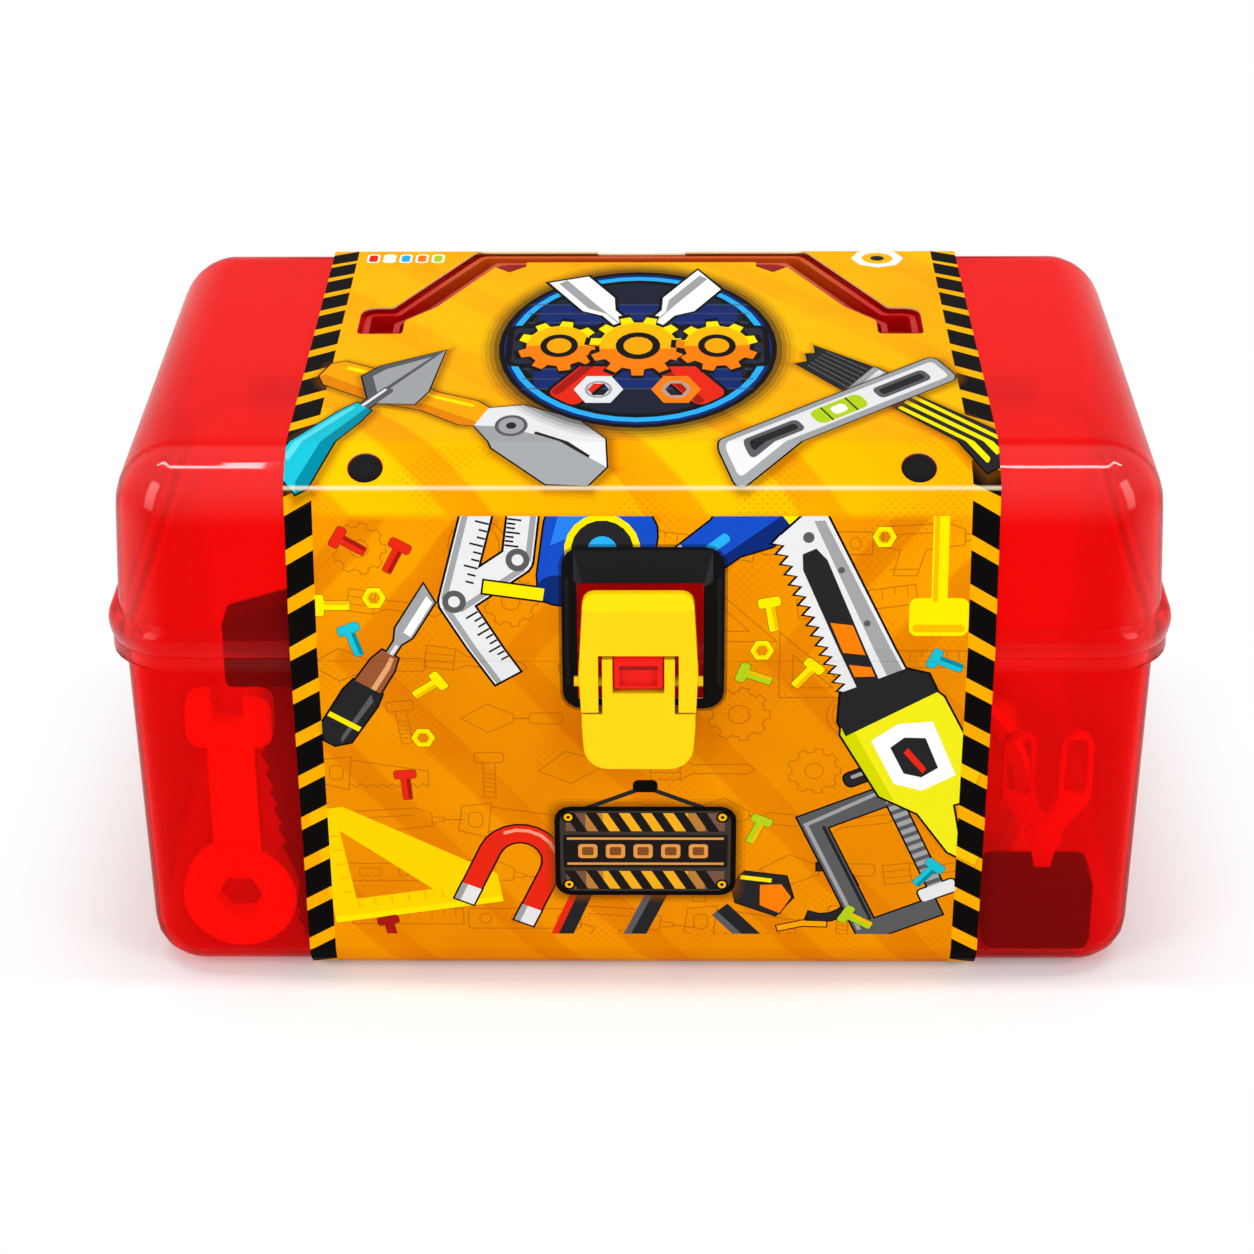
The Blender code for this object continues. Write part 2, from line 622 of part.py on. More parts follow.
def make_lid(material):
    rings = [ring(BEAD_FOOT_INSET, LID_FOOT), ring(BEAD_FOOT_INSET / 4, BEAD_CENTRE - BEAD_HEIGHT / 2)]
    for step in range(BEAD_STEPS + 1):
        angle = math.radians(90 * step / BEAD_STEPS)
        rings.append(ring(LID_FOOT_INSET * (1 - math.cos(angle)), BEAD_CENTRE + BEAD_TOP * math.sin(angle)))
    rings += fillet_rings(LID_TOP_INSET, LID_TOP, LID_FILLET, False, LID_FILLET_STEPS)[::-1]
    lid = loft("lid_shell", rings)
    foot = [ring(LID_FOOT_INSET + LID_WALL, LID_FOOT - OVERRUN),
            ring(LID_FOOT_INSET + LID_WALL, BEAD_END)]
    roof = fillet_rings(LID_TOP_INSET + LID_WALL, LID_TOP - LID_WALL, LID_FILLET - LID_WALL, False,
                        LID_FILLET_STEPS)
    cavity = loft("cavity", foot + roof[::-1])
    casing = prism("casing", handle_plan(WELL_CLEARANCE + LID_WALL), "Z",
                   WELL_FLOOR - LID_WALL, LID_TOP + OVERRUN)
    cut(cavity, casing)
    cut(lid, cavity)
    cut(lid, prism("well", handle_plan(WELL_CLEARANCE), "Z", WELL_FLOOR, LID_TOP + OVERRUN))
    for side in (-1, 1):
        low = side * (HANDLE_FOOT_HALF - HANDLE_WALL)
        high = side * (HANDLE_FOOT_HALF + WELL_CLEARANCE + LID_WALL + OVERRUN)
        cut(lid, rod("pin_hole", "X", (HANDLE_PIVOT_Y, HANDLE_PIVOT_Z), STUB_RADIUS + FIT_GAP,
                     min(low, high), max(low, high)))
        shank_hole = PLUG_SHANK + FIT_GAP
        cut(lid, plug_body("plug_hole", side, [(shank_hole, -PLUG_SHANK_LENGTH - OVERRUN), (shank_hole, OVERRUN)]))

    bar_foot = PARTING_HEIGHT + BAIL_HEAD_TOP - BAIL_BAR
    top = bar_foot - CATCH_TOP_GAP
    nose = BAIL_BACK + CATCH_GAP
    root = -HALF_DEPTH + LID_TOP_INSET
    catch = [(root, top - CATCH_HEIGHT), (-HALF_DEPTH + LID_FOOT_INSET / 2, top - CATCH_HEIGHT),
             (nose, top - CATCH_HEIGHT + CATCH_RAMP), (nose, top), (root, top)]
    join(lid, prism("catch", catch, "X", -CATCH_HALF, CATCH_HALF))
    half = HINGE_WIDTH / 2 - HINGE_EAR - HINGE_SIDE_GAP
    for side in (-1, 1):
        middle = side * HINGE_PLACE
        join(lid, hinge_ear(middle - half, middle + half, 1))
        cut(lid, rod("hinge_hole", "X", (HINGE_Y, PARTING_HEIGHT), HINGE_PIN_RADIUS + PIN_CLEARANCE,
                     middle - half - OVERRUN / 4, middle + half + OVERRUN / 4))
    dress(lid, material)
    set_origin(lid, (0, HINGE_Y, PARTING_HEIGHT))
    return lid


def make_handle(material):
    """A U-section bail: a channel runs along its upper face, stub pins leave its feet."""
    low = HANDLE_TOP - HANDLE_THICKNESS
    handle = prism("carry_handle", handle_plan(), "Z", low, HANDLE_TOP)
    cut(handle, prism("channel", handle_plan(-HANDLE_WALL), "Z", low + HANDLE_FLOOR, HANDLE_TOP + OVERRUN))
    reach = HANDLE_FOOT_HALF + OVERRUN
    nose = block("nose", (-reach, HANDLE_FRONT - OVERRUN, low - OVERRUN),
                 (reach, HANDLE_PIVOT_Y, HANDLE_TOP + OVERRUN))
    cut(nose, rod("round", "X", (HANDLE_PIVOT_Y, HANDLE_PIVOT_Z), HANDLE_THICKNESS / 2,
                  -reach - OVERRUN, reach + OVERRUN, 32))
    cut(handle, nose)
    for side in (-1, 1):
        root = side * (HANDLE_FOOT_HALF - HANDLE_WALL / 2)
        tip = side * (HANDLE_FOOT_HALF + WELL_CLEARANCE + STUB_GRIP)
        join(handle, rod("stub", "X", (HANDLE_PIVOT_Y, HANDLE_PIVOT_Z), STUB_RADIUS,
                         min(root, tip), max(root, tip)))
    dress(handle, material)
    set_origin(handle, (0, HANDLE_PIVOT_Y, HANDLE_PIVOT_Z))
    return handle


def make_hinge_pins(material):
    for name, side in (("hinge_pin_left", -1), ("hinge_pin_right", 1)):
        middle = side * HINGE_PLACE
        pin = rod(name, "X", (HINGE_Y, PARTING_HEIGHT), HINGE_PIN_RADIUS,
                  middle - HINGE_WIDTH / 2, middle + HINGE_WIDTH / 2)
        dress(pin, material)


def band_points(offset):
    """The card's corners on the back half of its loop, as an upper and a lower list of (y, z)."""
    lid_centre = Vector((HALF_DEPTH - LID_TOP_INSET - LID_FILLET, LID_TOP - LID_FILLET))
    rim = Vector((HALF_DEPTH, BEAD_CENTRE))
    tub_centre = Vector((HALF_DEPTH - TUB_FOOT_INSET - TUB_FILLET, TUB_FLOOR + TUB_FILLET))
    upper = rim - lid_centre
    lower = rim - tub_centre
    over = math.atan2(upper.y, upper.x) + math.acos(LID_FILLET / upper.length)
    under = math.atan2(lower.y, lower.x) - math.acos(TUB_FILLET / lower.length)

    def fold(centre, radius, first, second):
        spoke = radius / math.cos((first - second) / 2)
        angle = (first + second) / 2
        return (centre.x + spoke * math.cos(angle), centre.y + spoke * math.sin(angle))

    def at_height(height):
        reach = rim.x * math.cos(under) + rim.y * math.sin(under) + offset
        return ((reach - height * math.sin(under)) / math.cos(under), height)

    down = -math.pi / 2
    bends = [under + (down - under) * step / 4 for step in range(5)]
    top = [at_height(PARTING_HEIGHT + SLEEVE_SLIT / 2),
           fold(rim, offset, under, over),
           fold(lid_centre, LID_FILLET + offset, over, SLOPE_NORMAL),
           fold(lid_centre, LID_FILLET + offset, SLOPE_NORMAL, math.pi / 2)]
    foot = [at_height(PARTING_HEIGHT - SLEEVE_SLIT / 2)]
    foot += [fold(tub_centre, TUB_FILLET + offset, first, second)
             for first, second in zip(bends, bends[1:])]
    return top, foot


def make_sleeve(material):
    """The card band, divided by a slit at the parting plane so that the lid can open."""
    inner = band_points(FIT_GAP)
    outer = band_points(FIT_GAP + CARD)
    low = SLEEVE_SHIFT - SLEEVE_HALF
    high = SLEEVE_SHIFT + SLEEVE_HALF
    for name, part in (("sleeve_upper", 0), ("sleeve_lower", 1)):
        outline = mirrored(outer[part]) + mirrored(inner[part])[::-1]
        card = prism(name, outline, "X", low, high)
        window = block("window", (LATCH_WINDOW_SHIFT - LATCH_WINDOW_HALF, -HALF_DEPTH - OVERRUN,
                                  LATCH_WINDOW_FOOT),
                       (LATCH_WINDOW_SHIFT + LATCH_WINDOW_HALF, -HALF_DEPTH + 2 * OVERRUN,
                        LATCH_WINDOW_TOP))
        cut(card, window)
        if name == "sleeve_upper":
            cut(card, *slot_tools())
            for side in (-1, 1):
                cut(card, plug_body("plug_hole", side, [(PLUG_HOLE, -OVERRUN / 2), (PLUG_HOLE, OVERRUN)]))
            dress(card, material, 15)
            set_origin(card, (0, HINGE_Y, PARTING_HEIGHT))
        else:
            dress(card, material, 15)


def slot_tools():
    """Cutters of the handle's slot: its outline, a bay at both inner corners, a finger notch."""
    low = LID_TOP - OVERRUN / 2
    high = LID_TOP + OVERRUN
    outline = prism("slot", handle_plan(SLOT_CLEARANCE), "Z", low, high)
    inner_x, inner_y = handle_half()[1][-1]
    tools = [outline]
    for side in (-1, 1):
        centre_x = side * (-inner_x - SLOT_BAY / 3)
        bay = [(centre_x - SLOT_BAY / 2, inner_y + HANDLE_WALL), (centre_x - SLOT_BAY / 2, inner_y - SLOT_BAY / 2),
               (centre_x, inner_y - SLOT_BAY), (centre_x + SLOT_BAY / 2, inner_y - SLOT_BAY / 2),
               (centre_x + SLOT_BAY / 2, inner_y + HANDLE_WALL)]
        tools.append(prism("bay", bay, "Z", low, high))
    back = HANDLE_BACK + SLOT_CLEARANCE
    tools.append(block("finger_notch", (-NOTCH_HALF, back - OVERRUN / 2, low),
                       (NOTCH_HALF, back + NOTCH_DEPTH, high)))
    return tools


def make_lever(material):
    """The latch's lever: a shell-backed grip, a tongue, two prongs round the lug, stub pins."""
    knee = BAIL_PIVOT[1] - KNEE_RADIUS
    tip = PARTING_HEIGHT - LEVER_DROP
    half = [(-LEVER_TIP_HALF, tip), (-LEVER_HALF, knee - LEVER_CORNER), (-LEVER_HALF, knee + KNEE_RADIUS / 2)]
    outline = rounded(mirrored(half), [LEVER_TIP_CORNER, LEVER_CORNER, 0, 0, LEVER_CORNER, LEVER_TIP_CORNER], 5)
    lever = prism("latch_lever", outline, "Y", LATCH_FACE, LATCH_FACE + LEVER_DEPTH)
    soften(lever, LEVER_PLATE / 3)
    hollow = [(-LEVER_TIP_HALF + LEVER_PLATE, tip + LEVER_PLATE),
              (-LEVER_HALF + LEVER_PLATE, knee - LEVER_CORNER),
              (-LEVER_HALF + LEVER_PLATE, knee - KNEE_GAP - LEVER_PLATE)]
    cut(lever, prism("hollow", mirrored(hollow), "Y", LATCH_FACE + LEVER_PLATE,
                     LATCH_FACE + LEVER_DEPTH + OVERRUN))
    clear = KNEE_RADIUS + KNEE_GAP
    swept = circle(BAIL_PIVOT, clear, 64)
    cut(lever, prism("knee", swept, "X", -LEVER_HALF - OVERRUN, LEVER_HALF + OVERRUN))

    prong_top = LEVER_PIVOT[1] + PRONG_HEAD
    root = knee - KNEE_GAP - LEVER_PLATE
    notch = LUG_HALF + PRONG_GAP
    notch_foot = PARTING_HEIGHT - LUG_FOOT - NOTCH_GAP
    tongue = mirrored([(-TONGUE_HALF, root), (-TONGUE_HALF, prong_top), (-notch, prong_top),
                       (-notch, notch_foot)])
    tongue_back = LATCH_FACE + TONGUE_THICKNESS
    join(lever, prism("tongue", tongue, "Y", LATCH_FACE, tongue_back))
    for side in (-1, 1):
        inner = side * (TONGUE_HALF - LUG_RIM)
        outer = side * (BAIL_HALF + EAR_OUT)
        join(lever, rod("stub", "X", BAIL_PIVOT, EAR_RADIUS, min(inner, outer), max(inner, outer)))
    hole = LATCH_PIN_RADIUS + PIN_CLEARANCE
    cut(lever, rod("prong_hole", "X", LEVER_PIVOT, hole, -TONGUE_HALF - OVERRUN / 4,
                   TONGUE_HALF + OVERRUN / 4))
    dress(lever, material)
    set_origin(lever, (0, *LEVER_PIVOT))
    return lever


def make_bail(material):
    """The latch's bail: two legs on the lever's stubs and a hollow head over the lid's catch."""
    top = PARTING_HEIGHT + BAIL_HEAD_TOP
    foot = BAIL_PIVOT[1] - KNEE_RADIUS
    bulge = PARTING_HEIGHT - BAIL_BULGE_DOWN
    half = [(-BAIL_FOOT_HALF, foot), (-BAIL_HALF, bulge), (-BAIL_HEAD_HALF, top)]
    outline = rounded(mirrored(half), [0, BAIL_CORNER, BAIL_CORNER, BAIL_CORNER, BAIL_CORNER, 0])
    bail = prism("latch_bail", outline, "Y", BAIL_FACE, BAIL_BACK)
    soften(bail, BAIL_PLATE / 4)
    window_top = PARTING_HEIGHT + BAIL_WINDOW_TOP
    cut(bail, block("window", (-BAIL_WINDOW_HALF, BAIL_FACE - OVERRUN, foot - OVERRUN),
                    (BAIL_WINDOW_HALF, BAIL_BACK + OVERRUN, window_top)))
    pocket = BAIL_HEAD_HALF - BAIL_SKIRT
    cut(bail, block("pocket", (-pocket, BAIL_FACE + BAIL_PLATE, window_top - OVERRUN),
                    (pocket, BAIL_BACK + OVERRUN, top - BAIL_BAR)))
    slope = [(BAIL_FACE - OVERRUN, top - BAIL_SLOPE_DOWN - OVERRUN * BAIL_SLOPE_DOWN / BAIL_SLOPE_BACK),
             (BAIL_FACE + BAIL_SLOPE_BACK * 2, top + BAIL_SLOPE_DOWN), (BAIL_FACE - OVERRUN, top + BAIL_SLOPE_DOWN)]
    cut(bail, prism("slope", slope, "X", -BAIL_HALF - OVERRUN, BAIL_HALF + OVERRUN))
    clear = block("leg_ends", (-BAIL_HALF - OVERRUN, BAIL_FACE - OVERRUN, foot - OVERRUN),
                  (BAIL_HALF + OVERRUN, BAIL_BACK + OVERRUN, BAIL_PIVOT[1] - KNEE_RADIUS / 2))
    cut(clear, prism("knee", circle(BAIL_PIVOT, KNEE_RADIUS, 64), "X", -BAIL_HALF - 2 * OVERRUN,
                     BAIL_HALF + 2 * OVERRUN))
    cut(bail, clear)
    cut(bail, rod("ear_holes", "X", BAIL_PIVOT, EAR_RADIUS + EAR_CLEARANCE, -BAIL_HALF - OVERRUN,
                  BAIL_HALF + OVERRUN))
    dress(bail, material)
    set_origin(bail, (0, *BAIL_PIVOT))
    return bail


def make_latch_pin(material):
    pin = rod("latch_pin", "X", LEVER_PIVOT, LATCH_PIN_RADIUS, -TONGUE_HALF + FIT_GAP,
              TONGUE_HALF - FIT_GAP)
    dress(pin, material)


def make_spanner(material):
    front = -HALF_DEPTH + TUB_FOOT_INSET + TUB_WALL + SPANNER_FRONT_GAP
    foot = floor_height(front) + FIT_GAP
    centre = (SPANNER_PLACE, foot + SPANNER_RING)
    head_top = foot + SPANNER_LENGTH
    head_foot = head_top - SPANNER_JAW_LENGTH
    spanner = rod("toy_spanner", "Y", centre, SPANNER_RING, front, front + SPANNER_THICKNESS, 32)
    shaft = block("shaft", (centre[0] - SPANNER_SHAFT_HALF, front + OVERRUN / 8, centre[1]),
                  (centre[0] + SPANNER_SHAFT_HALF, front + SPANNER_THICKNESS - OVERRUN / 8,
                   head_foot + SPANNER_SHAFT_HALF))
    join(spanner, shaft)
    jaw = [(-SPANNER_JAW_HALF, head_foot), (-SPANNER_JAW_HALF, head_top),
           (-SPANNER_JAW_GAP / 2, head_top), (-SPANNER_JAW_GAP / 2, head_top - SPANNER_JAW_DEPTH)]
    corner = SPANNER_JAW_GAP / 4
    radii = [corner * 2, corner * 2, corner / 2, corner, corner, corner / 2, corner * 2, corner * 2]
    jaw_outline = [(centre[0] + x, z) for x, z in rounded(mirrored(jaw), radii)]
    join(spanner, prism("jaw", jaw_outline, "Y", front, front + SPANNER_THICKNESS))
    cut(spanner, prism("ring_hole", circle(centre, SPANNER_RING_HOLE, 6), "Y", front - OVERRUN,
                       front + SPANNER_THICKNESS + OVERRUN))
    dress(spanner, material)


def make_saw(blade_material, grip_material):
    foot = TUB_INSIDE + FIT_GAP
    top = foot + SAW_BLADE_LENGTH
    left = SAW_BLADE_LEFT
    right = left + SAW_BLADE_WIDTH
    tip = right - SAW_TIP_WIDTH
    edge = [(right, foot), (right, top), (left, top)]
    pitch = (top - SAW_TANG - foot) / SAW_TEETH
    for tooth in range(SAW_TEETH):
        height = top - SAW_TANG - pitch * tooth
        share = tooth / SAW_TEETH
        lean = left + (tip - left) * share
        edge.append((lean, height))
        edge.append((lean + SAW_TOOTH, height - pitch * 0.9))
    edge.append((tip, foot))
    blade = prism("toy_saw_blade", edge, "Y", SAW_FRONT, SAW_FRONT + SAW_BLADE_THICKNESS)
    dress(blade, blade_material, 20)

    grip_front = SAW_FRONT + (SAW_BLADE_THICKNESS - SAW_GRIP_THICKNESS) / 2
    grip_left = left - (SAW_GRIP_WIDTH - SAW_BLADE_WIDTH) / 2
    grip_right = grip_left + SAW_GRIP_WIDTH
    low = top - SAW_TANG
    high = low + SAW_GRIP_HEIGHT
    outline = [(grip_left, low), (grip_left, high - SAW_GRIP_SLOPE), (grip_right - SAW_GRIP_SLOPE, high),
               (grip_right, high - SAW_GRIP_SLOPE / 2), (grip_right, low)]
    corner = SAW_TANG / 4
    grip = prism("toy_saw_grip", rounded(outline, [corner] * 5), "Y", grip_front,
                 grip_front + SAW_GRIP_THICKNESS)
    soften(grip, corner / 2)
    cut(grip, block("tang_slot", (left - FIT_GAP, SAW_FRONT - FIT_GAP, low - OVERRUN),
                    (right + FIT_GAP, SAW_FRONT + SAW_BLADE_THICKNESS + FIT_GAP, top + FIT_GAP)))
    dress(grip, grip_material)


def make_disc(material):
    """A dished toy saw disc on edge, turned from its half section."""
    centre_z = TUB_INSIDE + FIT_GAP + DISC_RADIUS
    back = DISC_FRONT + DISC_THICKNESS
    section = [(DISC_BORE, DISC_FRONT + DISC_DISH), (DISC_RADIUS - DISC_RIM, DISC_FRONT + DISC_DISH),
               (DISC_RADIUS - DISC_RIM + DISC_DISH, DISC_FRONT), (DISC_RADIUS - DISC_DISH, DISC_FRONT),
               (DISC_RADIUS, DISC_FRONT + DISC_DISH), (DISC_RADIUS, back - DISC_DISH),
               (DISC_RADIUS - DISC_DISH, back), (DISC_BORE, back)]
    builder = bmesh.new()
    rows = []
    for radius, depth in section:
        rows.append([builder.verts.new((x, depth, z))
                     for x, z in circle((DISC_PLACE, centre_z), radius, DISC_SIDES)])
    for index, row in enumerate(rows):
        following = rows[(index + 1) % len(rows)]
        for step in range(DISC_SIDES):
            after = (step + 1) % DISC_SIDES
            builder.faces.new((row[step], row[after], following[after], following[step]))
    disc = as_object("toy_saw_disc", builder)
    dress(disc, material)


def make_hammer(head_material, stock_material):
    head_back = HAMMER_FRONT + HAMMER_HEAD_DEPTH
    radius = TUB_FILLET - TUB_WALL
    flat = TUB_FOOT_INSET + TUB_FILLET
    reach_x = flat + HAMMER_HEAD_HALF - HAMMER_BEVEL - HAMMER_SIDE_INSET
    reach_y = flat - HAMMER_BEVEL - HAMMER_FRONT_INSET
    reach = math.hypot(max(reach_x, 0), max(reach_y, 0))
    foot = TUB_INSIDE + radius - HAMMER_BEVEL - math.sqrt((radius - HAMMER_BEVEL - FIT_GAP) ** 2 - reach ** 2)
    low = (HAMMER_PLACE - HAMMER_HEAD_HALF, HAMMER_FRONT, foot)
    high = (HAMMER_PLACE + HAMMER_HEAD_HALF, head_back, foot + HAMMER_HEAD_HEIGHT)
    head = block("toy_hammer_head", low, high)
    soften(head, HAMMER_BEVEL)

    start = Vector((HAMMER_PLACE, head_back - HAMMER_SOCKET, foot + HAMMER_HEAD_HEIGHT / 2))
    end = Vector((HAMMER_PLACE, HAMMER_STOCK_END, 0))
    rest = TUB_INSIDE + FIT_GAP
    slope = 0.0
    for _ in range(8):
        end.z = rest + HAMMER_STOCK_RADIUS * math.cos(slope)
        slope = math.atan2(start.z - end.z, end.y - start.y)
    along = (end - start).normalized()

    def bar(name, radius, first, last, sides=20):
        across = Vector((1, 0, 0))
        upright = across.cross(along)
        rings = []
        for centre in (first, last):
            rings.append([centre + across * radius * math.cos(2 * math.pi * step / sides)
                          + upright * radius * math.sin(2 * math.pi * step / sides)
                          for step in range(sides)])
        return loft(name, rings)

    cut(head, bar("socket", HAMMER_STOCK_RADIUS + FIT_GAP, start - along * FIT_GAP,
                  start + along * (HAMMER_SOCKET + OVERRUN)))
    dress(head, head_material)
    stock = bar("toy_hammer_stock", HAMMER_STOCK_RADIUS, start, end)
    dress(stock, stock_material)
    return foot + HAMMER_HEAD_HEIGHT


def make_pliers(material, seat):
    """Toy pliers moulded in one piece, on their jaws on the hammer's head, loops upwards."""
    front = HAMMER_FRONT + PLIERS_BACK_SET
    back = front + PLIERS_THICKNESS
    foot = seat + FIT_GAP
    jaw = mirrored([(-PLIERS_JAW_HALF / 2, foot), (-PLIERS_JAW_HALF, foot + PLIERS_JAW_LENGTH)])
    body = prism("toy_pliers", [(PLIERS_PLACE + x, z) for x, z in jaw], "Y", front, back)
    joint = (PLIERS_PLACE, foot + PLIERS_JAW_LENGTH)
    bulge = PLIERS_LOOP_WALL / 3
    join(body, rod("joint", "Y", joint, PLIERS_JOINT_RADIUS, front - bulge, back + bulge, 20))
    top = foot + PLIERS_HEIGHT
    for side in (-1, 1):
        middle = PLIERS_PLACE + side * PLIERS_SPREAD
        outer = PLIERS_PLACE + side * (PLIERS_SPREAD - PLIERS_LOOP_HALF)
        reach = top - PLIERS_LOOP_LENGTH - joint[1]
        arm = [(joint[0] - side * PLIERS_LOOP_WALL, joint[1]),
               (outer, joint[1] + reach), (outer + side * 2 * PLIERS_LOOP_HALF, joint[1] + reach),
               (joint[0] + side * PLIERS_JAW_HALF, joint[1])]
        join(body, prism("arm", arm, "Y", front + bulge / 8, back - bulge / 8))
        loop = [(middle - PLIERS_LOOP_HALF, joint[1] + reach - bulge),
                (middle + PLIERS_LOOP_HALF, joint[1] + reach - bulge),
                (middle + PLIERS_LOOP_HALF, top), (middle - PLIERS_LOOP_HALF, top)]
        radius = PLIERS_LOOP_HALF * 0.95
        outline = rounded(loop, [0, 0, radius, radius], 5)
        join(body, prism("loop", outline, "Y", front + bulge / 4, back - bulge / 4))
        inside = grown(loop, -PLIERS_LOOP_WALL)
        hole = rounded(inside, [radius / 3, radius / 3, radius * 0.6, radius * 0.6], 4)
        cut(body, prism("hole", hole, "Y", front - OVERRUN, back + OVERRUN))
    dress(body, material)


def make_screwdriver(shaft_material, grip_material):
    rest = TUB_INSIDE + FIT_GAP
    centre = (DRIVER_BACK, rest + DRIVER_GRIP_RADIUS)
    left = DRIVER_LEFT
    right = left + DRIVER_GRIP_LENGTH
    outline = []
    steps = DRIVER_GRIP_FLUTES * 6
    for step in range(steps):
        angle = 2 * math.pi * step / steps
        radius = DRIVER_GRIP_RADIUS - DRIVER_FLUTE * (0.5 + 0.5 * math.cos(DRIVER_GRIP_FLUTES * angle))
        outline.append((centre[0] + radius * math.cos(angle), centre[1] + radius * math.sin(angle)))
    low_point = min(z for _, z in outline)
    outline = [(y, z - low_point + rest) for y, z in outline]
    axis = (centre[0], centre[1] - low_point + rest)
    grip = prism("toy_driver_grip", outline, "X", left, right)
    soften(grip, DRIVER_FLUTE / 2, 1)
    cut(grip, rod("socket", "X", axis, DRIVER_SHAFT_RADIUS + FIT_GAP, right - DRIVER_SOCKET - FIT_GAP,
                  right + OVERRUN))
    dress(grip, grip_material, 25)

    start = right - DRIVER_SOCKET
    end = start + DRIVER_SHAFT_LENGTH
    shaft = rod("toy_driver_shaft", "X", axis, DRIVER_SHAFT_RADIUS, start, end)
    for side in (-1, 1):
        face = axis[0] + side * DRIVER_SHAFT_RADIUS
        wedge = [(end - DRIVER_TIP, face + side * FIT_GAP), (end + OVERRUN, face + side * FIT_GAP),
                 (end + OVERRUN, axis[0] + side * DRIVER_SHAFT_RADIUS / 3),
                 (end, axis[0] + side * DRIVER_SHAFT_RADIUS / 3)]
        cut(shaft, prism("wedge", wedge, "Z", axis[1] - 2 * DRIVER_SHAFT_RADIUS,
                         axis[1] + 2 * DRIVER_SHAFT_RADIUS))
    dress(shaft, shaft_material)


def make_bolts(material):
    """Toy bolts stood on their heads on the floor."""
    rest = TUB_INSIDE + FIT_GAP
    for number in (1, 2):
        centre = (FASTENER_ROW, FASTENER_FRONT + (number - 1) * FASTENER_PITCH)
        bolt = prism(f"toy_bolt_{number}", circle(centre, BOLT_HEAD_RADIUS, 6), "Z", rest,
                     rest + BOLT_HEAD_HEIGHT)
        soften(bolt, BOLT_HEAD_HEIGHT / 8)
        join(bolt, rod("shank", "Z", centre, BOLT_SHANK_RADIUS, rest + BOLT_HEAD_HEIGHT / 2,
                       rest + BOLT_LENGTH))
        dress(bolt, material)


def make_nuts(material):
    rest = TUB_INSIDE + FIT_GAP
    for number in (1, 2):
        centre = (FASTENER_ROW + FASTENER_PITCH, FASTENER_FRONT + (number - 1) * FASTENER_PITCH)
        nut = prism(f"toy_nut_{number}", circle(centre, NUT_RADIUS, 6), "Z", rest, rest + NUT_HEIGHT)
        soften(nut, NUT_HEIGHT / 10)
        cut(nut, rod("bore", "Z", centre, NUT_BORE, rest - OVERRUN / 4, rest + NUT_HEIGHT + OVERRUN))
        dress(nut, material)


def main():
    clear_scene()
    make_tub(finish("tub_red", RED, 0.15, alpha=0.8))
    make_lid(finish("lid_red", RED, 0.12, alpha=0.8))
    make_handle(finish("handle_red", (0.72, 0.010, 0.014), 0.2))
    make_hinge_pins(finish("hinge_steel", (0.60, 0.61, 0.62), 0.3, 1.0))
    make_sleeve(finish("sleeve_card", (0.95, 0.45, 0.01), 0.35))
    make_plugs(finish("plug_black", (0.01, 0.01, 0.01), 0.2))
    make_lever(finish("lever_yellow", YELLOW, 0.3))
    make_bail(finish("bail_yellow", YELLOW, 0.3))
    make_latch_pin(finish("latch_steel", (0.60, 0.61, 0.62), 0.3, 1.0))
    make_spanner(finish("spanner_orange", (0.95, 0.22, 0.02), 0.35))
    make_saw(finish("saw_blade_grey", (0.30, 0.31, 0.33), 0.4), finish("saw_grip_black", (0.02, 0.02, 0.02), 0.4))
    make_disc(finish("disc_orange", (0.93, 0.20, 0.02), 0.4))
    seat = make_hammer(finish("hammer_head_black", (0.03, 0.03, 0.03), 0.45),
                       finish("hammer_stock_yellow", (0.90, 0.55, 0.02), 0.4))
    make_pliers(finish("pliers_red", (0.80, 0.05, 0.03), 0.35), seat)
    make_screwdriver(finish("driver_shaft_grey", (0.45, 0.46, 0.48), 0.35),
                     finish("driver_grip_orange", (0.93, 0.25, 0.02), 0.4))
    make_bolts(finish("bolt_black", (0.03, 0.03, 0.035), 0.45))
    make_nuts(finish("nut_grey", (0.25, 0.26, 0.28), 0.45))


main()
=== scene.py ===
import math
import random

import bmesh
import bpy
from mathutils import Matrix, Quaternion, Vector
from mathutils.geometry import convex_hull_2d, delaunay_2d_cdt


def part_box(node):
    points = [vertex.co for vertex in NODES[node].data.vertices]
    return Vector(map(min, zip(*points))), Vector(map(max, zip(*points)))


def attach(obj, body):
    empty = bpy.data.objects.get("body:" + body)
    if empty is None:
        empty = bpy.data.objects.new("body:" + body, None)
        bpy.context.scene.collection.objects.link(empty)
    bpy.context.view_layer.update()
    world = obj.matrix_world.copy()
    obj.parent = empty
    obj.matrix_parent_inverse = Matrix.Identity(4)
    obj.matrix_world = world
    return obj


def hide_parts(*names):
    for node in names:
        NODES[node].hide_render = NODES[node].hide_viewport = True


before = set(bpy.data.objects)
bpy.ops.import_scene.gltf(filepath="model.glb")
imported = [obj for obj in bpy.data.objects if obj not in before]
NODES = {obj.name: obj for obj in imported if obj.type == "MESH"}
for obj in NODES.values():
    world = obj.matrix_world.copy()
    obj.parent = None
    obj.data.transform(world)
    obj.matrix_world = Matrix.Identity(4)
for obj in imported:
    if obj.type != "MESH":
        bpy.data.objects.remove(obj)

bl_info = {
    "name": "Toy tool box",
    "version": (1, 0, 0),
    "blender": (4, 5, 0),
    "location": "View3D > Sidebar > Toy tool box",
    "description": "Dresses the packed toy tool box: clear shells, printed card, latch and toy tools",
    "category": "Object",
}

MM = 0.001

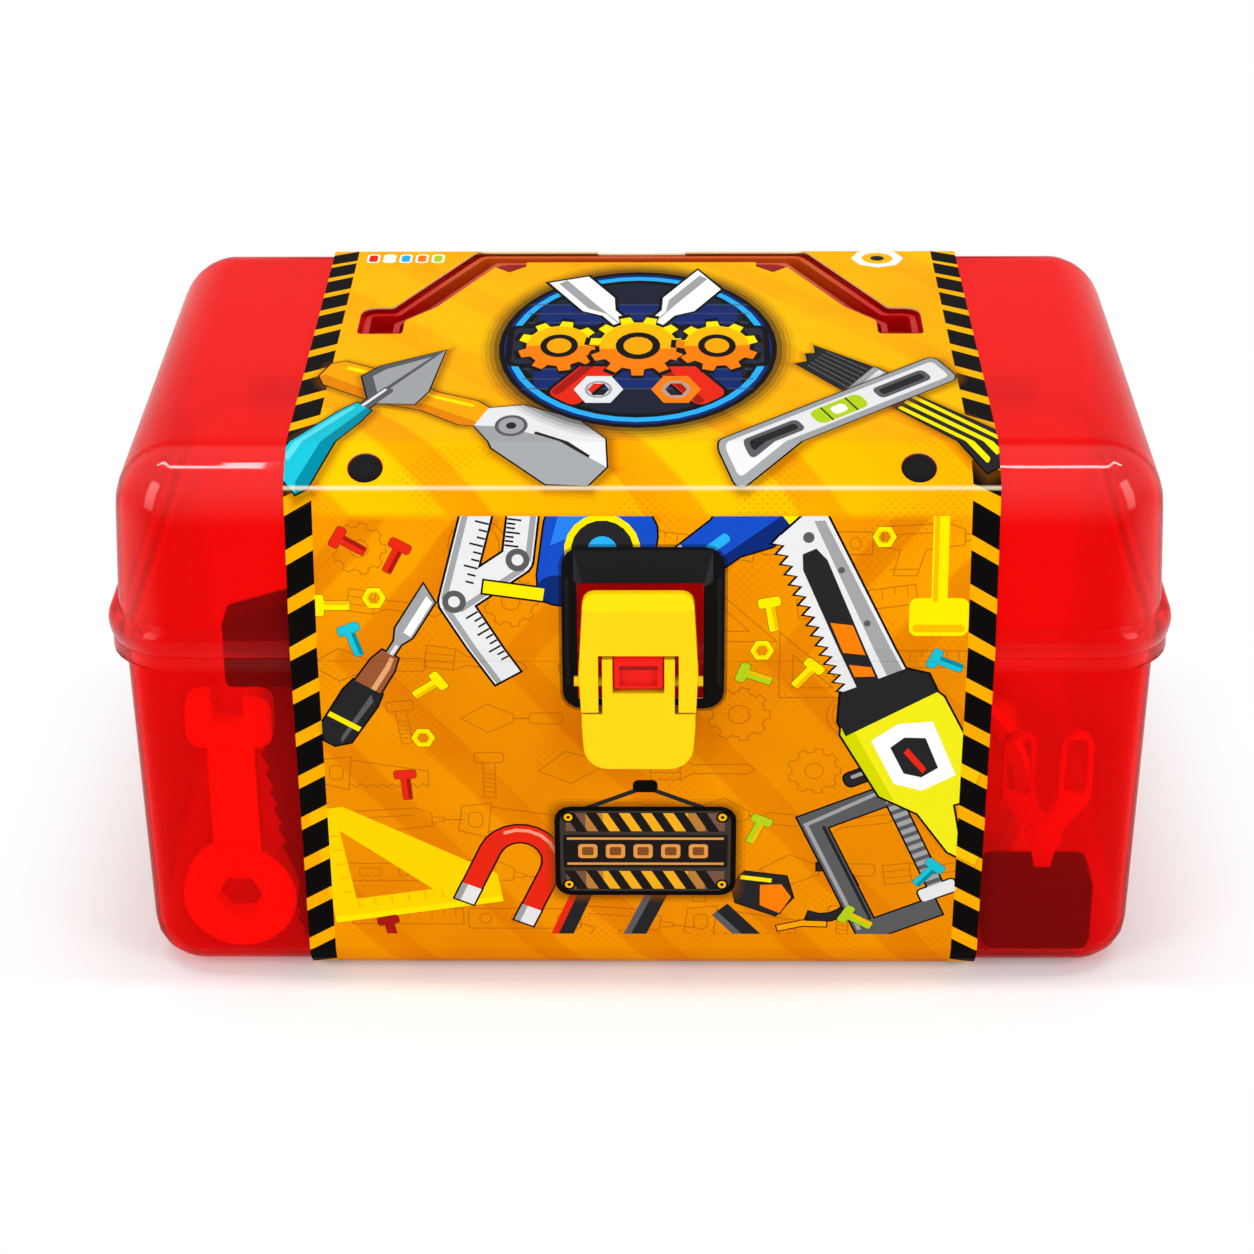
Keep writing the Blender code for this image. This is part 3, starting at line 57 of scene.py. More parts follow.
# Print inks, linear colour
INKS = {
    "black": (0.004, 0.003, 0.003), "coal": (0.018, 0.018, 0.020), "shade": (0.16, 0.045, 0.0),
    "line": (0.36, 0.10, 0.004), "steel": (0.33, 0.34, 0.35), "pale": (0.74, 0.75, 0.76),
    "white": (0.90, 0.90, 0.90), "grey": (0.095, 0.098, 0.105), "teal": (0.01, 0.50, 0.62),
    "teal_dark": (0.0, 0.24, 0.33), "aqua": (0.10, 0.66, 0.76), "blue": (0.008, 0.07, 0.52),
    "azure": (0.02, 0.20, 0.80), "navy": (0.004, 0.022, 0.17), "sky": (0.02, 0.40, 0.85),
    "red": (0.74, 0.02, 0.006), "red_dark": (0.36, 0.008, 0.004), "coral": (0.95, 0.30, 0.20),
    "yellow": (0.98, 0.76, 0.0), "straw": (0.98, 0.62, 0.0), "lemon": (0.82, 0.78, 0.01),
    "olive": (0.62, 0.66, 0.0), "gold": (0.90, 0.46, 0.0), "marigold": (0.97, 0.44, 0.0),
    "orange": (0.90, 0.20, 0.002), "rust": (0.74, 0.22, 0.0), "amber": (0.96, 0.36, 0.0),
    "copper": (0.30, 0.09, 0.03), "bronze": (0.74, 0.36, 0.16), "lime": (0.42, 0.60, 0.01),
    "night": (0.010, 0.014, 0.030), "dusk": (0.016, 0.020, 0.040), "slate": (0.05, 0.06, 0.09),
    "soot": (0.045, 0.034, 0.028), "umber": (0.16, 0.085, 0.055), "ochre": (0.46, 0.20, 0.035),
    "honey": (0.84, 0.40, 0.012), "pitch": (0.012, 0.010, 0.010), "tan": (0.72, 0.30, 0.06),
    "brown": (0.20, 0.07, 0.02), "jet": (0.006, 0.006, 0.006), "jet_top": (0.013, 0.013, 0.014),
    "jet_left": (0.022, 0.022, 0.028), "jet_right": (0.026, 0.026, 0.032), "jet_edge": (0.012, 0.012, 0.012),
}

# The printed card, laid out flat in millimetres: x across, s along it, zero at the front crease, up over the top
STRIP_WIDTH = 6.9
STRIP_PERIOD = 12.84
STRIP_BLACK_SHARE = 0.69
STRIP_RISE = 4.1
STRIP_FIRST = -10.0
STRIP_CREASE = 2.8
STRIP_ROOF_STEP = 16.87
STRIP_ROOF_DROP = 0.0253
STRIP_ROOF_COUNT = 10
PRINT_LINE = -7.6
PRINT_FOOT = -130.5
ROOF_STRETCH = 1.6
FRAME_TOP_S = -15.6
LATCH_X = 1.2
PLATE_X = 1.6
PLATE_S = -104
MARKS_X = 67
MARKS_S = 143
SMALLEST_OUTLINED = 1.5
SHEET_COLUMNS = 12
LAYOUT_LOW = -150.0
LAYOUT_HIGH = 170.0
DRAWING_INSET = 19.0
DRAWING_STEP = 28.5
DRAWING_ROW = 15.8
BADGE_X = -0.5
BADGE_S = 77
DOT_PITCH = 1.55
SLIT_CLOSING = 0.11

# The shells in metres: the lid's polished zones, the middle seen from the side, as y and z, half the latch's lug
# and how far the knuckles stand out behind
POLISH = 0.7
CORNER_ZONE = 0.0180
BEND_ZONE = 0.0180
BOX_MIDDLE = (0.0, 0.073)
ZONE_FADE = 0.0120
LUG_REACH = 0.0075
HINGE_REACH = 0.0076

# The toys
BLACK, GREY, ORANGE = (0.02, 0.02, 0.022), (0.20, 0.21, 0.23), (0.95, 0.24, 0.01)
GRIP_FLUTES = 6
GRIP_FLUTE_DEPTH = 0.0014
# Each toy's name, material slot, colour and the width of its softened edge, None for the fluted grip
TOYS = (("spanner", "spanner_orange", ORANGE, 0.0008), ("saw_blade", "saw_blade_grey", (0.30, 0.305, 0.315), 0.0002),
        ("saw_grip", "saw_grip_black", (0.015, 0.015, 0.016), 0.0006), ("saw_disc", "disc_orange", ORANGE, 0.0003),
        ("hammer_head", "hammer_head_black", BLACK, 0.0),
        ("hammer_stock", "hammer_stock_yellow", (0.88, 0.50, 0.01), 0.0006),
        ("pliers", "pliers_red", (0.85, 0.05, 0.02), 0.0003),
        ("driver_shaft", "driver_shaft_grey", (0.40, 0.41, 0.43), 0.0002),
        ("driver_grip", "driver_grip_orange", (0.92, 0.22, 0.01), None), ("bolt_1", "bolt_black", BLACK, 0.0002),
        ("bolt_2", "bolt_black", BLACK, 0.0002), ("nut_1", "nut_grey", GREY, 0.0003),
        ("nut_2", "nut_grey", GREY, 0.0003))

# The studio: each lamp's name, place, width, height and watts, the box's half size on the floor, and the camera
LAMPS = (("overhead", (0.0, -0.12, 1.9), 2.4, 0.12, 18.0), ("left", (-1.45, -1.25, 0.85), 0.65, 1.5, 16.0),
         ("right", (1.5, -1.15, 0.85), 0.6, 1.5, 14.0))
SKY_LIGHT = 0.55
FLOOR_DROP = 0.0002
FOOTPRINT = (0.128, 0.078, 0.0)
CAMERA_LENS = 91.81
CAMERA_AIM = (-0.0039, 0.0017, 0.0637)
CAMERA_REACH = 0.896
CAMERA_DOWN = 27.0
CAMERA_YAW = -0.70
CAMERA_ROLL = -0.3


def finish_piece(piece, body, node):
    """A finished piece rides on its body and stands for its CAD node."""
    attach(piece, body)
    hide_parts(node)


class Value:
    """A node socket that takes part in Python expressions."""

    def __init__(self, shader, socket):
        self.shader = shader
        self.socket = socket

    def math(self, operation, *others):
        return self.shader.node("ShaderNodeMath", {"operation": operation},
                                {i: v for i, v in enumerate((self, *others))})

    def __add__(self, other): return self.math("ADD", other)
    def __radd__(self, other): return self.math("ADD", other)
    def __sub__(self, other): return self.math("SUBTRACT", other)
    def __rsub__(self, other): return self.shader.number(other).math("SUBTRACT", self)
    def __mul__(self, other): return self.math("MULTIPLY", other)
    def __rmul__(self, other): return self.math("MULTIPLY", other)
    def __truediv__(self, other): return self.math("DIVIDE", other)

    def fract(self): return self.math("FRACT")
    def absolute(self): return self.math("ABSOLUTE")

    def smooth(self, low, high):
        """0 below low, 1 above high, smooth between."""
        return self.shader.node("ShaderNodeMapRange", {"interpolation_type": "SMOOTHSTEP"},
                                {"Value": self, "From Min": low, "From Max": high})


class Tree:
    """A node tree; every node comes from one method."""

    def __init__(self, tree):
        self.tree = tree

    def node(self, kind, settings=None, inputs=None, output=0):
        made = self.tree.nodes.new(kind)
        for key, value in (settings or {}).items():
            if key == "stops":
                ramp = made.color_ramp
                while len(ramp.elements) < len(value):
                    ramp.elements.new(0.5)
                for element, (place, colour) in zip(ramp.elements, value):
                    element.position = place
                    element.color = (*colour, 1.0)
            else:
                setattr(made, key, value)
        for key, value in (inputs or {}).items():
            self.feed(made.inputs[key], value)
        return Value(self, made.outputs[output])

    def feed(self, socket, value):
        if isinstance(value, Value):
            self.tree.links.new(value.socket, socket)
        elif isinstance(value, tuple) and len(value) == 3 and socket.type == "RGBA":
            socket.default_value = (*value, 1.0)
        else:
            socket.default_value = value

    def number(self, value):
        made = self.node("ShaderNodeValue")
        made.socket.default_value = value
        return made

    def seen(self):
        """1 where the eye sees this straight, through clear plastic or mirrored, 0 where it only gives light."""
        straight = self.node("ShaderNodeLightPath")
        paths = straight.socket.node.outputs
        mirrored = Value(self, paths["Is Glossy Ray"])
        through = Value(self, paths["Is Transmission Ray"])
        return (straight + mirrored + through).smooth(0, 1)


class Shader(Tree):
    """A material's node tree."""

    def __init__(self, name):
        self.material = bpy.data.materials.new(name)
        self.material.use_nodes = True
        super().__init__(self.material.node_tree)
        self.surface = self.tree.nodes["Principled BSDF"]

    def set(self, **values):
        """Feed the Principled shader; underscores in a name stand for spaces."""
        for key, value in values.items():
            self.feed(self.surface.inputs[key.replace("_", " ")], value)

    def place(self):
        return self.node("ShaderNodeTexCoord", output=3)

    def noise(self, scale, detail=2.0, where=None):
        return self.node("ShaderNodeTexNoise", None,
                         {"Vector": where or self.place(), "Scale": scale, "Detail": detail})

    def mix(self, share, first, second):
        """A colour between two."""
        return self.node("ShaderNodeMix", {"data_type": "RGBA"}, {0: share, 6: first, 7: second}, 2)

    def split(self, vector):
        """The three numbers of a vector."""
        first = self.node("ShaderNodeSeparateXYZ", None, {0: vector})
        return [Value(self, output) for output in first.socket.node.outputs]

    def share(self, colour):
        """The red part of a colour, as a number."""
        return self.node("ShaderNodeSeparateColor", None, {0: colour})

    def bump(self, height, distance, strength=1.0):
        return self.node("ShaderNodeBump", None,
                         {"Height": height, "Distance": distance, "Strength": strength})


def tinted(shader, tone, colour, dark, light):
    """A colour that drifts between a darker and a lighter share of itself."""
    return shader.mix(tone, tuple(c * dark for c in colour), tuple(min(1.0, c * light) for c in colour))


def skin(shader, roughness, grain=0.00002):
    """The sheen and the fine skin of moulded plastic."""
    shader.set(Roughness=shader.noise(95.0, 3.0) * 0.16 + (roughness - 0.08),
               Normal=shader.bump(shader.noise(900.0, 2.0), grain))


def moulded(name, colour, roughness, fleck=0.06, **extra):
    """Moulded plastic: slight sheen changes, a fine skin and faint colour drift."""
    shader = Shader(name)
    shader.set(Base_Color=tinted(shader, shader.noise(38.0, 3.0), colour, 1 - 2 * fleck, 1 + fleck),
               Specular_IOR_Level=0.06, **extra)
    skin(shader, roughness)
    return shader.material


def handle_plastic(colour, back):
    """The handle's red, with painted reflected light: it turns burnt orange on its back bar, where the card's colour
    would shine in.
    """
    shader = Shader("handle_plastic")
    # Painted reflected light: a burnt-orange share towards the back bar, standing in for the card's colour bouncing
    # onto it.
    bar = shader.split(shader.place())[1].smooth(back - 0.046, back - 0.005)
    red = tinted(shader, shader.noise(38.0, 3.0), colour, 0.9, 1.08)
    shader.set(Base_Color=shader.mix(bar, red, (0.52, 0.070, 0.006)), Specular_IOR_Level=0.05)
    skin(shader, 0.28)
    return shader.material


def clear_red(name, colour, clearness, corner, bend, rim):
    """Clear tinted plastic with faint flow marks, polished on the lid's corners, front bend and rim."""
    shader = Shader(name)
    glow = tinted(shader, shader.noise(7.0, 2.0), colour, 0.93, 1.05)
    x, y, z = shader.split(shader.place())
    above = z.smooth(rim - 0.001, rim + 0.001)
    front = (-1 * y).smooth(corner.y, corner.y + ZONE_FADE)
    round_corner = x.absolute().smooth(corner.x, corner.x + ZONE_FADE) * front * above
    front_bend = (-1 * y).smooth(bend.x, bend.x + 0.003) * z.smooth(bend.y, bend.y + ZONE_FADE)
    rim_band = above * (1 - z.smooth(rim + 0.007, rim + 0.009))
    polish = round_corner.math("MAXIMUM", front_bend).math("MAXIMUM", rim_band * 0.2)
    shader.set(Base_Color=glow,
               Roughness=shader.noise(60.0, 2.0) * 0.04 + 0.20,
               Normal=shader.bump(shader.noise(55.0, 1.0), 0.00004),
               Transmission_Weight=clearness, IOR=1.07, Specular_Tint=(1.0, 0.55, 0.58),
               Coat_Weight=polish * POLISH, Coat_Roughness=0.05)
    return shader.material


def steel(name):
    shader = Shader(name)
    shader.set(Base_Color=shader.mix(shader.noise(120.0), (0.42, 0.42, 0.43), (0.62, 0.62, 0.63)),
               Metallic=1.0, Roughness=shader.noise(300.0) * 0.2 + 0.22)
    return shader.material


def printed(name):
    """Varnished print: bands of yellow and orange, dots, a painted highlight along the front crease, and the inks
    drawn on it.
    """
    shader = Shader(name)
    sheet = shader.node("ShaderNodeUVMap", {"uv_map": "sheet"})
    across, along, _ = shader.split(sheet)
    scaled = shader.node("ShaderNodeVectorMath", {"operation": "SCALE"}, {0: sheet, "Scale": 0.02})
    cloud = shader.noise(1.6, 3.0, scaled)
    top = along.smooth(PRINT_LINE - 1.6, PRINT_LINE + 1.6)
    lean = (across * 0.80 + along * 0.62 + cloud * 5.0) / 71.0
    slant = lean.fract()
    fold = ((along + 46.0).absolute() * 0.72 - across * 0.86 + cloud * 4.0) / 58.0
    chevron = fold.fract()
    bands = {"stops": [(0.0, (0.05,) * 3), (0.16, (0.30,) * 3), (0.18, (0.95,) * 3), (0.42, (0.80,) * 3),
                       (0.44, (0.25,) * 3), (0.56, (0.10,) * 3), (0.58, (0.62,) * 3), (1.0, (0.45,) * 3)]}
    upper = shader.share(shader.node("ShaderNodeValToRGB", bands, {0: slant}))
    lower = shader.share(shader.node("ShaderNodeValToRGB", bands, {0: chevron}))
    soft = (cloud - 0.5) * 0.5
    fade = 0.80 - along.smooth(14.0, 56.0) * 0.50
    roof = shader.mix(upper * fade + (0.72 - fade * 0.56) + soft, (0.86, 0.21, 0.0), (0.97, 0.53, 0.0))
    strong = along.smooth(-44.0, -18.0) * 0.22 + 0.46
    front = shader.mix(lower * strong + 0.16 + soft, (0.66, 0.16, 0.0), (0.92, 0.36, 0.0))
    ground = shader.mix(top, front, roof)

    dot_u = ((across + along) * 0.7071 / DOT_PITCH).fract() - 0.5
    dot_v = ((across - along) * 0.7071 / DOT_PITCH).fract() - 0.5
    distance = (dot_u * dot_u + dot_v * dot_v).math("SQRT")
    patch = shader.noise(2.3, 1.0, scaled).smooth(0.52, 0.62)
    dots = (0.24 - distance).smooth(0.0, 0.06) * patch * 0.42
    ground = shader.mix(dots, ground, (0.62, 0.12, 0.002))

    ink = shader.node("ShaderNodeAttribute", {"attribute_name": "ink"})
    colour = shader.mix(Value(shader, ink.socket.node.outputs["Alpha"]), ground, ink)
    # Painted highlight: a pale line along the front crease, mixed into the colour.
    painted_crease_highlight = (0.95 - (along + 0.3).absolute()).smooth(0.0, 0.9) * (cloud * 0.5 + 0.35)
    colour = shader.mix(painted_crease_highlight, colour, (1.0, 0.88, 0.58))
    colour = shader.node("ShaderNodeVectorMath", {"operation": "MULTIPLY"}, {0: colour, 1: (0.92, 0.92, 0.92)})
    shader.set(Base_Color=colour,
               Roughness=shader.noise(3.0, 2.0, scaled) * 0.10 + 0.38,
               Normal=shader.bump(shader.noise(0.7, 2.0, scaled), 0.0005, 0.35),
               Specular_IOR_Level=0.008)
    return shader.material


def board(name):
    """The card's own stock, seen at its cut edges and inside."""
    shader = Shader(name)
    shader.set(Base_Color=shader.mix(shader.noise(700.0), (0.66, 0.44, 0.17), (0.78, 0.55, 0.25)),
               Roughness=0.75, Normal=shader.bump(shader.noise(1500.0), 0.00003))
    return shader.material


def link(name, builder, materials):
    """A bmesh becomes an object with its materials."""
    mesh = bpy.data.meshes.new(name)
    builder.to_mesh(mesh)
    builder.free()
    for material in materials:
        mesh.materials.append(material)
    piece = bpy.data.objects.new(name, mesh)
    bpy.context.scene.collection.objects.link(piece)
    return piece


def baked(piece):
    """Modifiers worked into the mesh."""
    bpy.context.view_layer.update()
    graph = bpy.context.evaluated_depsgraph_get()
    mesh = bpy.data.meshes.new_from_object(piece.evaluated_get(graph), preserve_all_data_layers=True,
                                           depsgraph=graph)
    piece.modifiers.clear()
    piece.data = mesh
    return piece


def smoothed(mesh, angle=38):
    """Smooth shading, with the edges past an angle kept sharp."""
    mesh.shade_smooth()
    mesh.set_sharp_from_angle(angle=math.radians(angle))


def copy_of(node, name, material, bevel=0.0, segments=2):
    """A merged copy of a CAD node with softened edges and smooth shading."""
    builder = bmesh.new()
    builder.from_mesh(NODES[node].data)
    for layer in list(builder.loops.layers.uv.values()):
        builder.loops.layers.uv.remove(layer)
    bmesh.ops.remove_doubles(builder, verts=builder.verts, dist=0.000002)
    bmesh.ops.dissolve_limit(builder, angle_limit=math.radians(1.0), verts=builder.verts, edges=builder.edges)
    for face in builder.faces:
        face.material_index = 0
    piece = link(name, builder, [material])
    if bevel:
        round_over = piece.modifiers.new("Edges", "BEVEL")
        round_over.width = bevel
        round_over.segments = segments
        round_over.limit_method = "ANGLE"
        round_over.angle_limit = math.radians(32)
        round_over.use_clamp_overlap = True
        baked(piece)
    smoothed(piece.data)
    even = piece.modifiers.new("Normals", "WEIGHTED_NORMAL")
    even.keep_sharp = True
    even.weight = 70
    return baked(piece)


def fluted_grip(node, name, material):
    """The driver's grip from a rule: a rod along x whose radius follows its flutes and its rounded ends."""
    low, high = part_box(node)
    tree = Tree(bpy.data.node_groups.new(name, "GeometryNodeTree"))
    face = tree.tree.interface
    face.new_socket(name="Geometry", in_out="OUTPUT", socket_type="NodeSocketGeometry")
    values = {"Length": high.x - low.x, "Radius": (high.z - low.z) / 2, "Flutes": float(GRIP_FLUTES),
              "Flute Depth": GRIP_FLUTE_DEPTH, "End Share": 0.12, "Material": material}
    sockets = {}
    for label in values:
        kind = "NodeSocketMaterial" if label == "Material" else "NodeSocketFloat"
        sockets[label] = face.new_socket(name=label, in_out="INPUT", socket_type=kind).identifier
    entry = tree.tree.nodes.new("NodeGroupInput")
    given = {label: Value(tree, entry.outputs[label]) for label in sockets}
    rod = tree.node("GeometryNodeMeshCylinder", {"fill_type": "NGON"}, {
        "Vertices": 96, "Side Segments": 40, "Radius": given["Radius"], "Depth": given["Length"]})
    parts = tree.node("ShaderNodeSeparateXYZ", None, {0: tree.node("GeometryNodeInputPosition")})
    x, y, z = (Value(tree, parts.socket.node.outputs[i]) for i in range(3))
    wave = (y.math("ARCTAN2", x) * given["Flutes"]).math("COSINE") * 0.5 + 0.5
    end = (z.absolute() / given["Length"] * 2).smooth(1 - given["End Share"], 1.0)
    reach = 1 - wave * given["Flute Depth"] / given["Radius"] - end * 0.14
    narrowed = tree.node("ShaderNodeCombineXYZ", None, {0: x * reach, 1: y * reach, 2: z})
    shaped = tree.node("GeometryNodeSetPosition", None, {"Geometry": rod, "Position": narrowed})
    turned = tree.node("GeometryNodeTransform", None, {
        "Geometry": shaped, "Rotation": (0.0, math.radians(90), 0.0), "Translation": tuple((low + high) / 2)})
    whole = tree.node("GeometryNodeRealizeInstances", None, {"Geometry": turned})
    coated = tree.node("GeometryNodeSetMaterial", None, {"Geometry": whole, "Material": given["Material"]})
    leave = tree.tree.nodes.new("NodeGroupOutput")
    tree.feed(leave.inputs["Geometry"], coated)

    piece = link(name, bmesh.new(), [material])
    rule = piece.modifiers.new("Flutes", "NODES")
    rule.node_group = tree.tree
    for label, value in values.items():
        rule[sockets[label]] = value
    smoothed(baked(piece).data)
    piece.data.materials.pop(index=0)
    return piece


def outer_line(node):
    """The card's outer line from its front end to its back end, as (y, z), seen from one side."""
    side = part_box(node)[0].x
    points = [(v.co.y, v.co.z) for v in NODES[node].data.vertices if abs(v.co.x - side) < 0.00001]
    hull = [Vector(points[i]) for i in convex_hull_2d(points)]
    merged = [p for i, p in enumerate(hull) if (p - hull[i - 1]).length > 0.00003]
    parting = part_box("sleeve_lower")[1].z
    ends = [i for i, p in enumerate(merged) if abs(p.y - parting) < 0.0006]
    start = min(ends, key=lambda i: merged[i].x)
    finish = max(ends, key=lambda i: merged[i].x)
    count = len(merged)
    forward = [merged[(start + i) % count] for i in range((finish - start) % count + 1)]
    backward = [merged[(start - i) % count] for i in range((start - finish) % count + 1)]
    return max((forward, backward), key=len)


class Fold:
    """Lays a flat sheet round the card's outer line; s is in millimetres, zero at the front crease."""

    def __init__(self, node):
        line = outer_line(node)
        self.upward = line[1].y > line[0].y
        way = 1 if self.upward else -1
        crease = outer_line("sleeve_upper")[:3]
        front = sum((b - a).length for a, b in zip(crease, crease[1:]))
        parting_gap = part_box("sleeve_upper")[0].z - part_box("sleeve_lower")[1].z
        place = -front if self.upward else -front - parting_gap
        self.corners = []
        for index, point in enumerate(line):
            if index:
                place += way * (point - line[index - 1]).length
            self.corners.append((place / MM, point))
        self.stations = self.rounded_line()

    def rounded_line(self, radius=0.9, steps=4):
        """The corners with small rounded bends, as (s, point)."""
        stations = [self.corners[0]]
        for before, here, after in zip(self.corners, self.corners[1:], self.corners[2:]):
            first = (here[1] - before[1]).normalized()
            second = (after[1] - here[1]).normalized()
            turn = first.angle(second)
            reach = min(radius * math.tan(turn / 2), abs(here[0] - before[0]) * 0.4, abs(after[0] - here[0]) * 0.4)
            sign = 1 if after[0] > before[0] else -1
            start = here[1] - first * reach * MM
            end = here[1] + second * reach * MM
            for step in range(steps + 1):
                t = step / steps
                point = start.lerp(here[1], t).lerp(here[1].lerp(end, t), t)
                stations.append((here[0] + sign * reach * (2 * t - 1), point))
        stations.append(self.corners[-1])
        return sorted(stations, key=lambda s: s[0])

    def at(self, x, s, depth):
        """The point of the sheet at x and s, a depth below its printed face."""
        stations = self.stations
        index = 1
        while index < len(stations) - 1 and stations[index][0] < s:
            index += 1
        (low, first), (high, second) = stations[index - 1], stations[index]
        share = (s - low) / (high - low)
        point = first.lerp(second, share)
        along = self.tangent(index - 1).lerp(self.tangent(index), share).normalized()
        normal = Vector((along.y, -along.x)) * -1
        inward = Vector(BOX_MIDDLE) - point
        if normal.dot(inward) < 0:
            normal = -normal
        point = point + normal * depth
        return Vector((x * MM, point.x, point.y))

    def tangent(self, index):
        stations = self.stations
        before = stations[max(index - 1, 0)][1]
        after = stations[min(index + 1, len(stations) - 1)][1]
        return (after - before).normalized()

    def unrolled(self, point):
        """x and s of a point on the outer line, or None."""
        flat = Vector((point.y, point.z))
        for (low, first), (high, second) in zip(self.corners, self.corners[1:]):
            side = second - first
            share = (flat - first).dot(side) / side.length_squared
            if -0.001 <= share <= 1.001 and (first.lerp(second, share) - flat).length < 0.00003:
                return (point.x / MM, low + (high - low) * share)
        return None


def sheet_loops(node, fold):
    """The outline and the holes of a card part, unrolled, from its CAD node."""
    builder = bmesh.new()
    builder.from_mesh(NODES[node].data)
    bmesh.ops.remove_doubles(builder, verts=builder.verts, dist=0.000002)
    places = {v: fold.unrolled(v.co) for v in builder.verts}
    faces = {f for f in builder.faces if abs(f.normal.x) < 0.5 and all(places[v] for v in f.verts)}
    after = {}
    for face in faces:
        for loop in face.loops:
            twins = [f for f in loop.edge.link_faces if f in faces]
            if len(twins) == 1:
                after[loop.vert] = loop.link_loop_next.vert
    loops = []
    while after:
        vert = next(iter(after))
        chain = []
        while vert in after:
            following = after.pop(vert)
            chain.append(places[vert])
            vert = following
        if len(chain) > 2:
            loops.append(chain)
    builder.free()
    return sorted(loops, key=lambda chain: -abs(area(chain)))


def area(points):
    return sum(a[0] * b[1] - b[0] * a[1] for a, b in zip(points, points[1:] + points[:1])) / 2


def grown(points, amount):
    """An outline moved outwards on every side."""
    side = 1 if area(points) > 0 else -1
    result = []
    for index, point in enumerate(points):
        corner = Vector(point)
        back = (corner - Vector(points[index - 1])).normalized()
        ahead = (Vector(points[(index + 1) % len(points)]) - corner).normalized()
        first = Vector((back.y, -back.x)) * side
        mitre = first + Vector((ahead.y, -ahead.x)) * side
        mitre = mitre.normalized() if mitre.length > 0.001 else first
        result.append(tuple(corner + mitre * amount / max(mitre.dot(first), 0.6)))
    return result


def oval(x, y, half, rise, sides=40):
    """A closed round outline, as wide and as tall as given."""
    turns = [2 * math.pi * i / sides for i in range(int(sides))]
    return [(x + half * math.cos(turn), y + rise * math.sin(turn)) for turn in turns]


def disc(x, y, radius, sides=20):
    return oval(x, y, radius, radius, sides)


def arc(x, y, radius, first, last, step):
    """Points on a round line between two angles in degrees, both included."""
    turns = range(int(first), int(last + math.copysign(1, step)), int(step))
    return [(x + radius * math.cos(math.radians(turn)), y + radius * math.sin(math.radians(turn))) for turn in turns]


def box(x0, y0, x1, y1, radius=0.0, steps=4):
    """A rectangle, its corners rounded where a radius is given."""
    if not radius:
        return [(x0, y0), (x1, y0), (x1, y1), (x0, y1)]
    points = []
    for cx, cy, start in ((x1 - radius, y0 + radius, -90), (x1 - radius, y1 - radius, 0),
                          (x0 + radius, y1 - radius, 90), (x0 + radius, y0 + radius, 180)):
        for i in range(steps + 1):
            angle = math.radians(start + 90 * i / steps)
            points.append((cx + radius * math.cos(angle), cy + radius * math.sin(angle)))
    return points


def cog(x, y, radius, teeth, depth=0.16):
    points = []
    for i in range(int(teeth)):
        for turn, reach in ((-0.30, 1 - depth), (-0.20, 1.0), (0.20, 1.0), (0.30, 1 - depth)):
            angle = 2 * math.pi * (i + turn) / teeth
            points.append((x + radius * reach * math.cos(angle), y + radius * reach * math.sin(angle)))
    return points


def hoop(x, y, outer, inner, sides=18):
    """A ring as a row of four-sided pieces."""
    rim = disc(x, y, outer, sides)
    bore = disc(x, y, inner, sides)
    return [[rim[i - 1], rim[i], bore[i], bore[i - 1]] for i in range(len(rim))]


def stroke(points, width, closed=False):
    """A line of that width as four-sided pieces."""
    pairs = list(zip(points, points[1:]))
    if closed:
        pairs.append((points[-1], points[0]))
    pieces = []
    for first, second in pairs:
        a, b = Vector(first), Vector(second)
        if (b - a).length < 0.01:
            continue
        way = (b - a).normalized()
        side = Vector((-way.y, way.x)) * width / 2
        cap = way * width / 2
        pieces.append([tuple(a - cap - side), tuple(b + cap - side), tuple(b + cap + side), tuple(a - cap + side)])
    return pieces


def band(points, width):
    """A bent bar of that width, as one outline."""
    spots = [Vector(point) for point in points]
    ways = [(b - a).normalized() for a, b in zip(spots, spots[1:])]
    near, far = [], []
    for index, spot in enumerate(spots):
        before, after = ways[max(index - 1, 0)], ways[min(index, len(ways) - 1)]
        first = Vector((before.y, -before.x))
        mitre = (first + Vector((after.y, -after.x))).normalized()
        reach = mitre * width / 2 / max(mitre.dot(first), 0.5)
        near.append(tuple(spot + reach))
        far.append(tuple(spot - reach))
    return [near + far[::-1]]


SOLIDS = {"box": box, "disc": disc, "oval": oval, "cog": cog, "hoop": hoop}


def numbers_in(word):
    return [float(number) for number in word.split(",")]


def repeated(points, count, step):
    return [(a + step[0] * i, b + step[1] * i) for i in range(int(count)) for a, b in points]


def points_in(words):
    """The points that a row's words give."""
    points = []
    for word in words:
        if "|" in word:
            times, *group = word.split("|")
            count, step = times.split("x")
            points += repeated([numbers_in(point) for point in group], count, numbers_in(step))
        elif word[0] == "~":
            points += arc(*numbers_in(word[1:]))
        else:
            points.append(tuple(numbers_in(word)))
    return points


def read_rows(text, *inks):
    """The layers of a drawing as (outlines, ink, cover), one for each row of its text."""
    layers = []
    for row in text.split("\n"):
        row, _, again = row.partition(" * ")
        ink, *words = row.split()
        ink, _, cover = ink.partition("@")
        width = 0.0 if words[0].isalpha() or "," in words[0] else float(words.pop(0))
        kind = words.pop(0) if words[0].isalpha() else "shape"
        if kind in SOLIDS:
            made = SOLIDS[kind](*(number for word in words for number in numbers_in(word)))
            outlines = made if kind == "hoop" else [made]
        else:
            points = points_in(words)
            if kind == "even":
                points += [(a, -b) for a, b in reversed(points) if b]
            outlines = band(points, width) if kind == "bend" else [points]
        if width and kind != "bend":
            outlines = stroke(outlines[0], width, kind != "path")
        if again:
            count, step = again.split()
            right, up = numbers_in(step)
            outlines = [[(a + right * i, b + up * i) for a, b in line]
                        for i in range(int(count)) for line in outlines]
        layers.append((outlines, inks[int(ink)] if ink.isdigit() else ink, float(cover or 1.0)))
    return layers


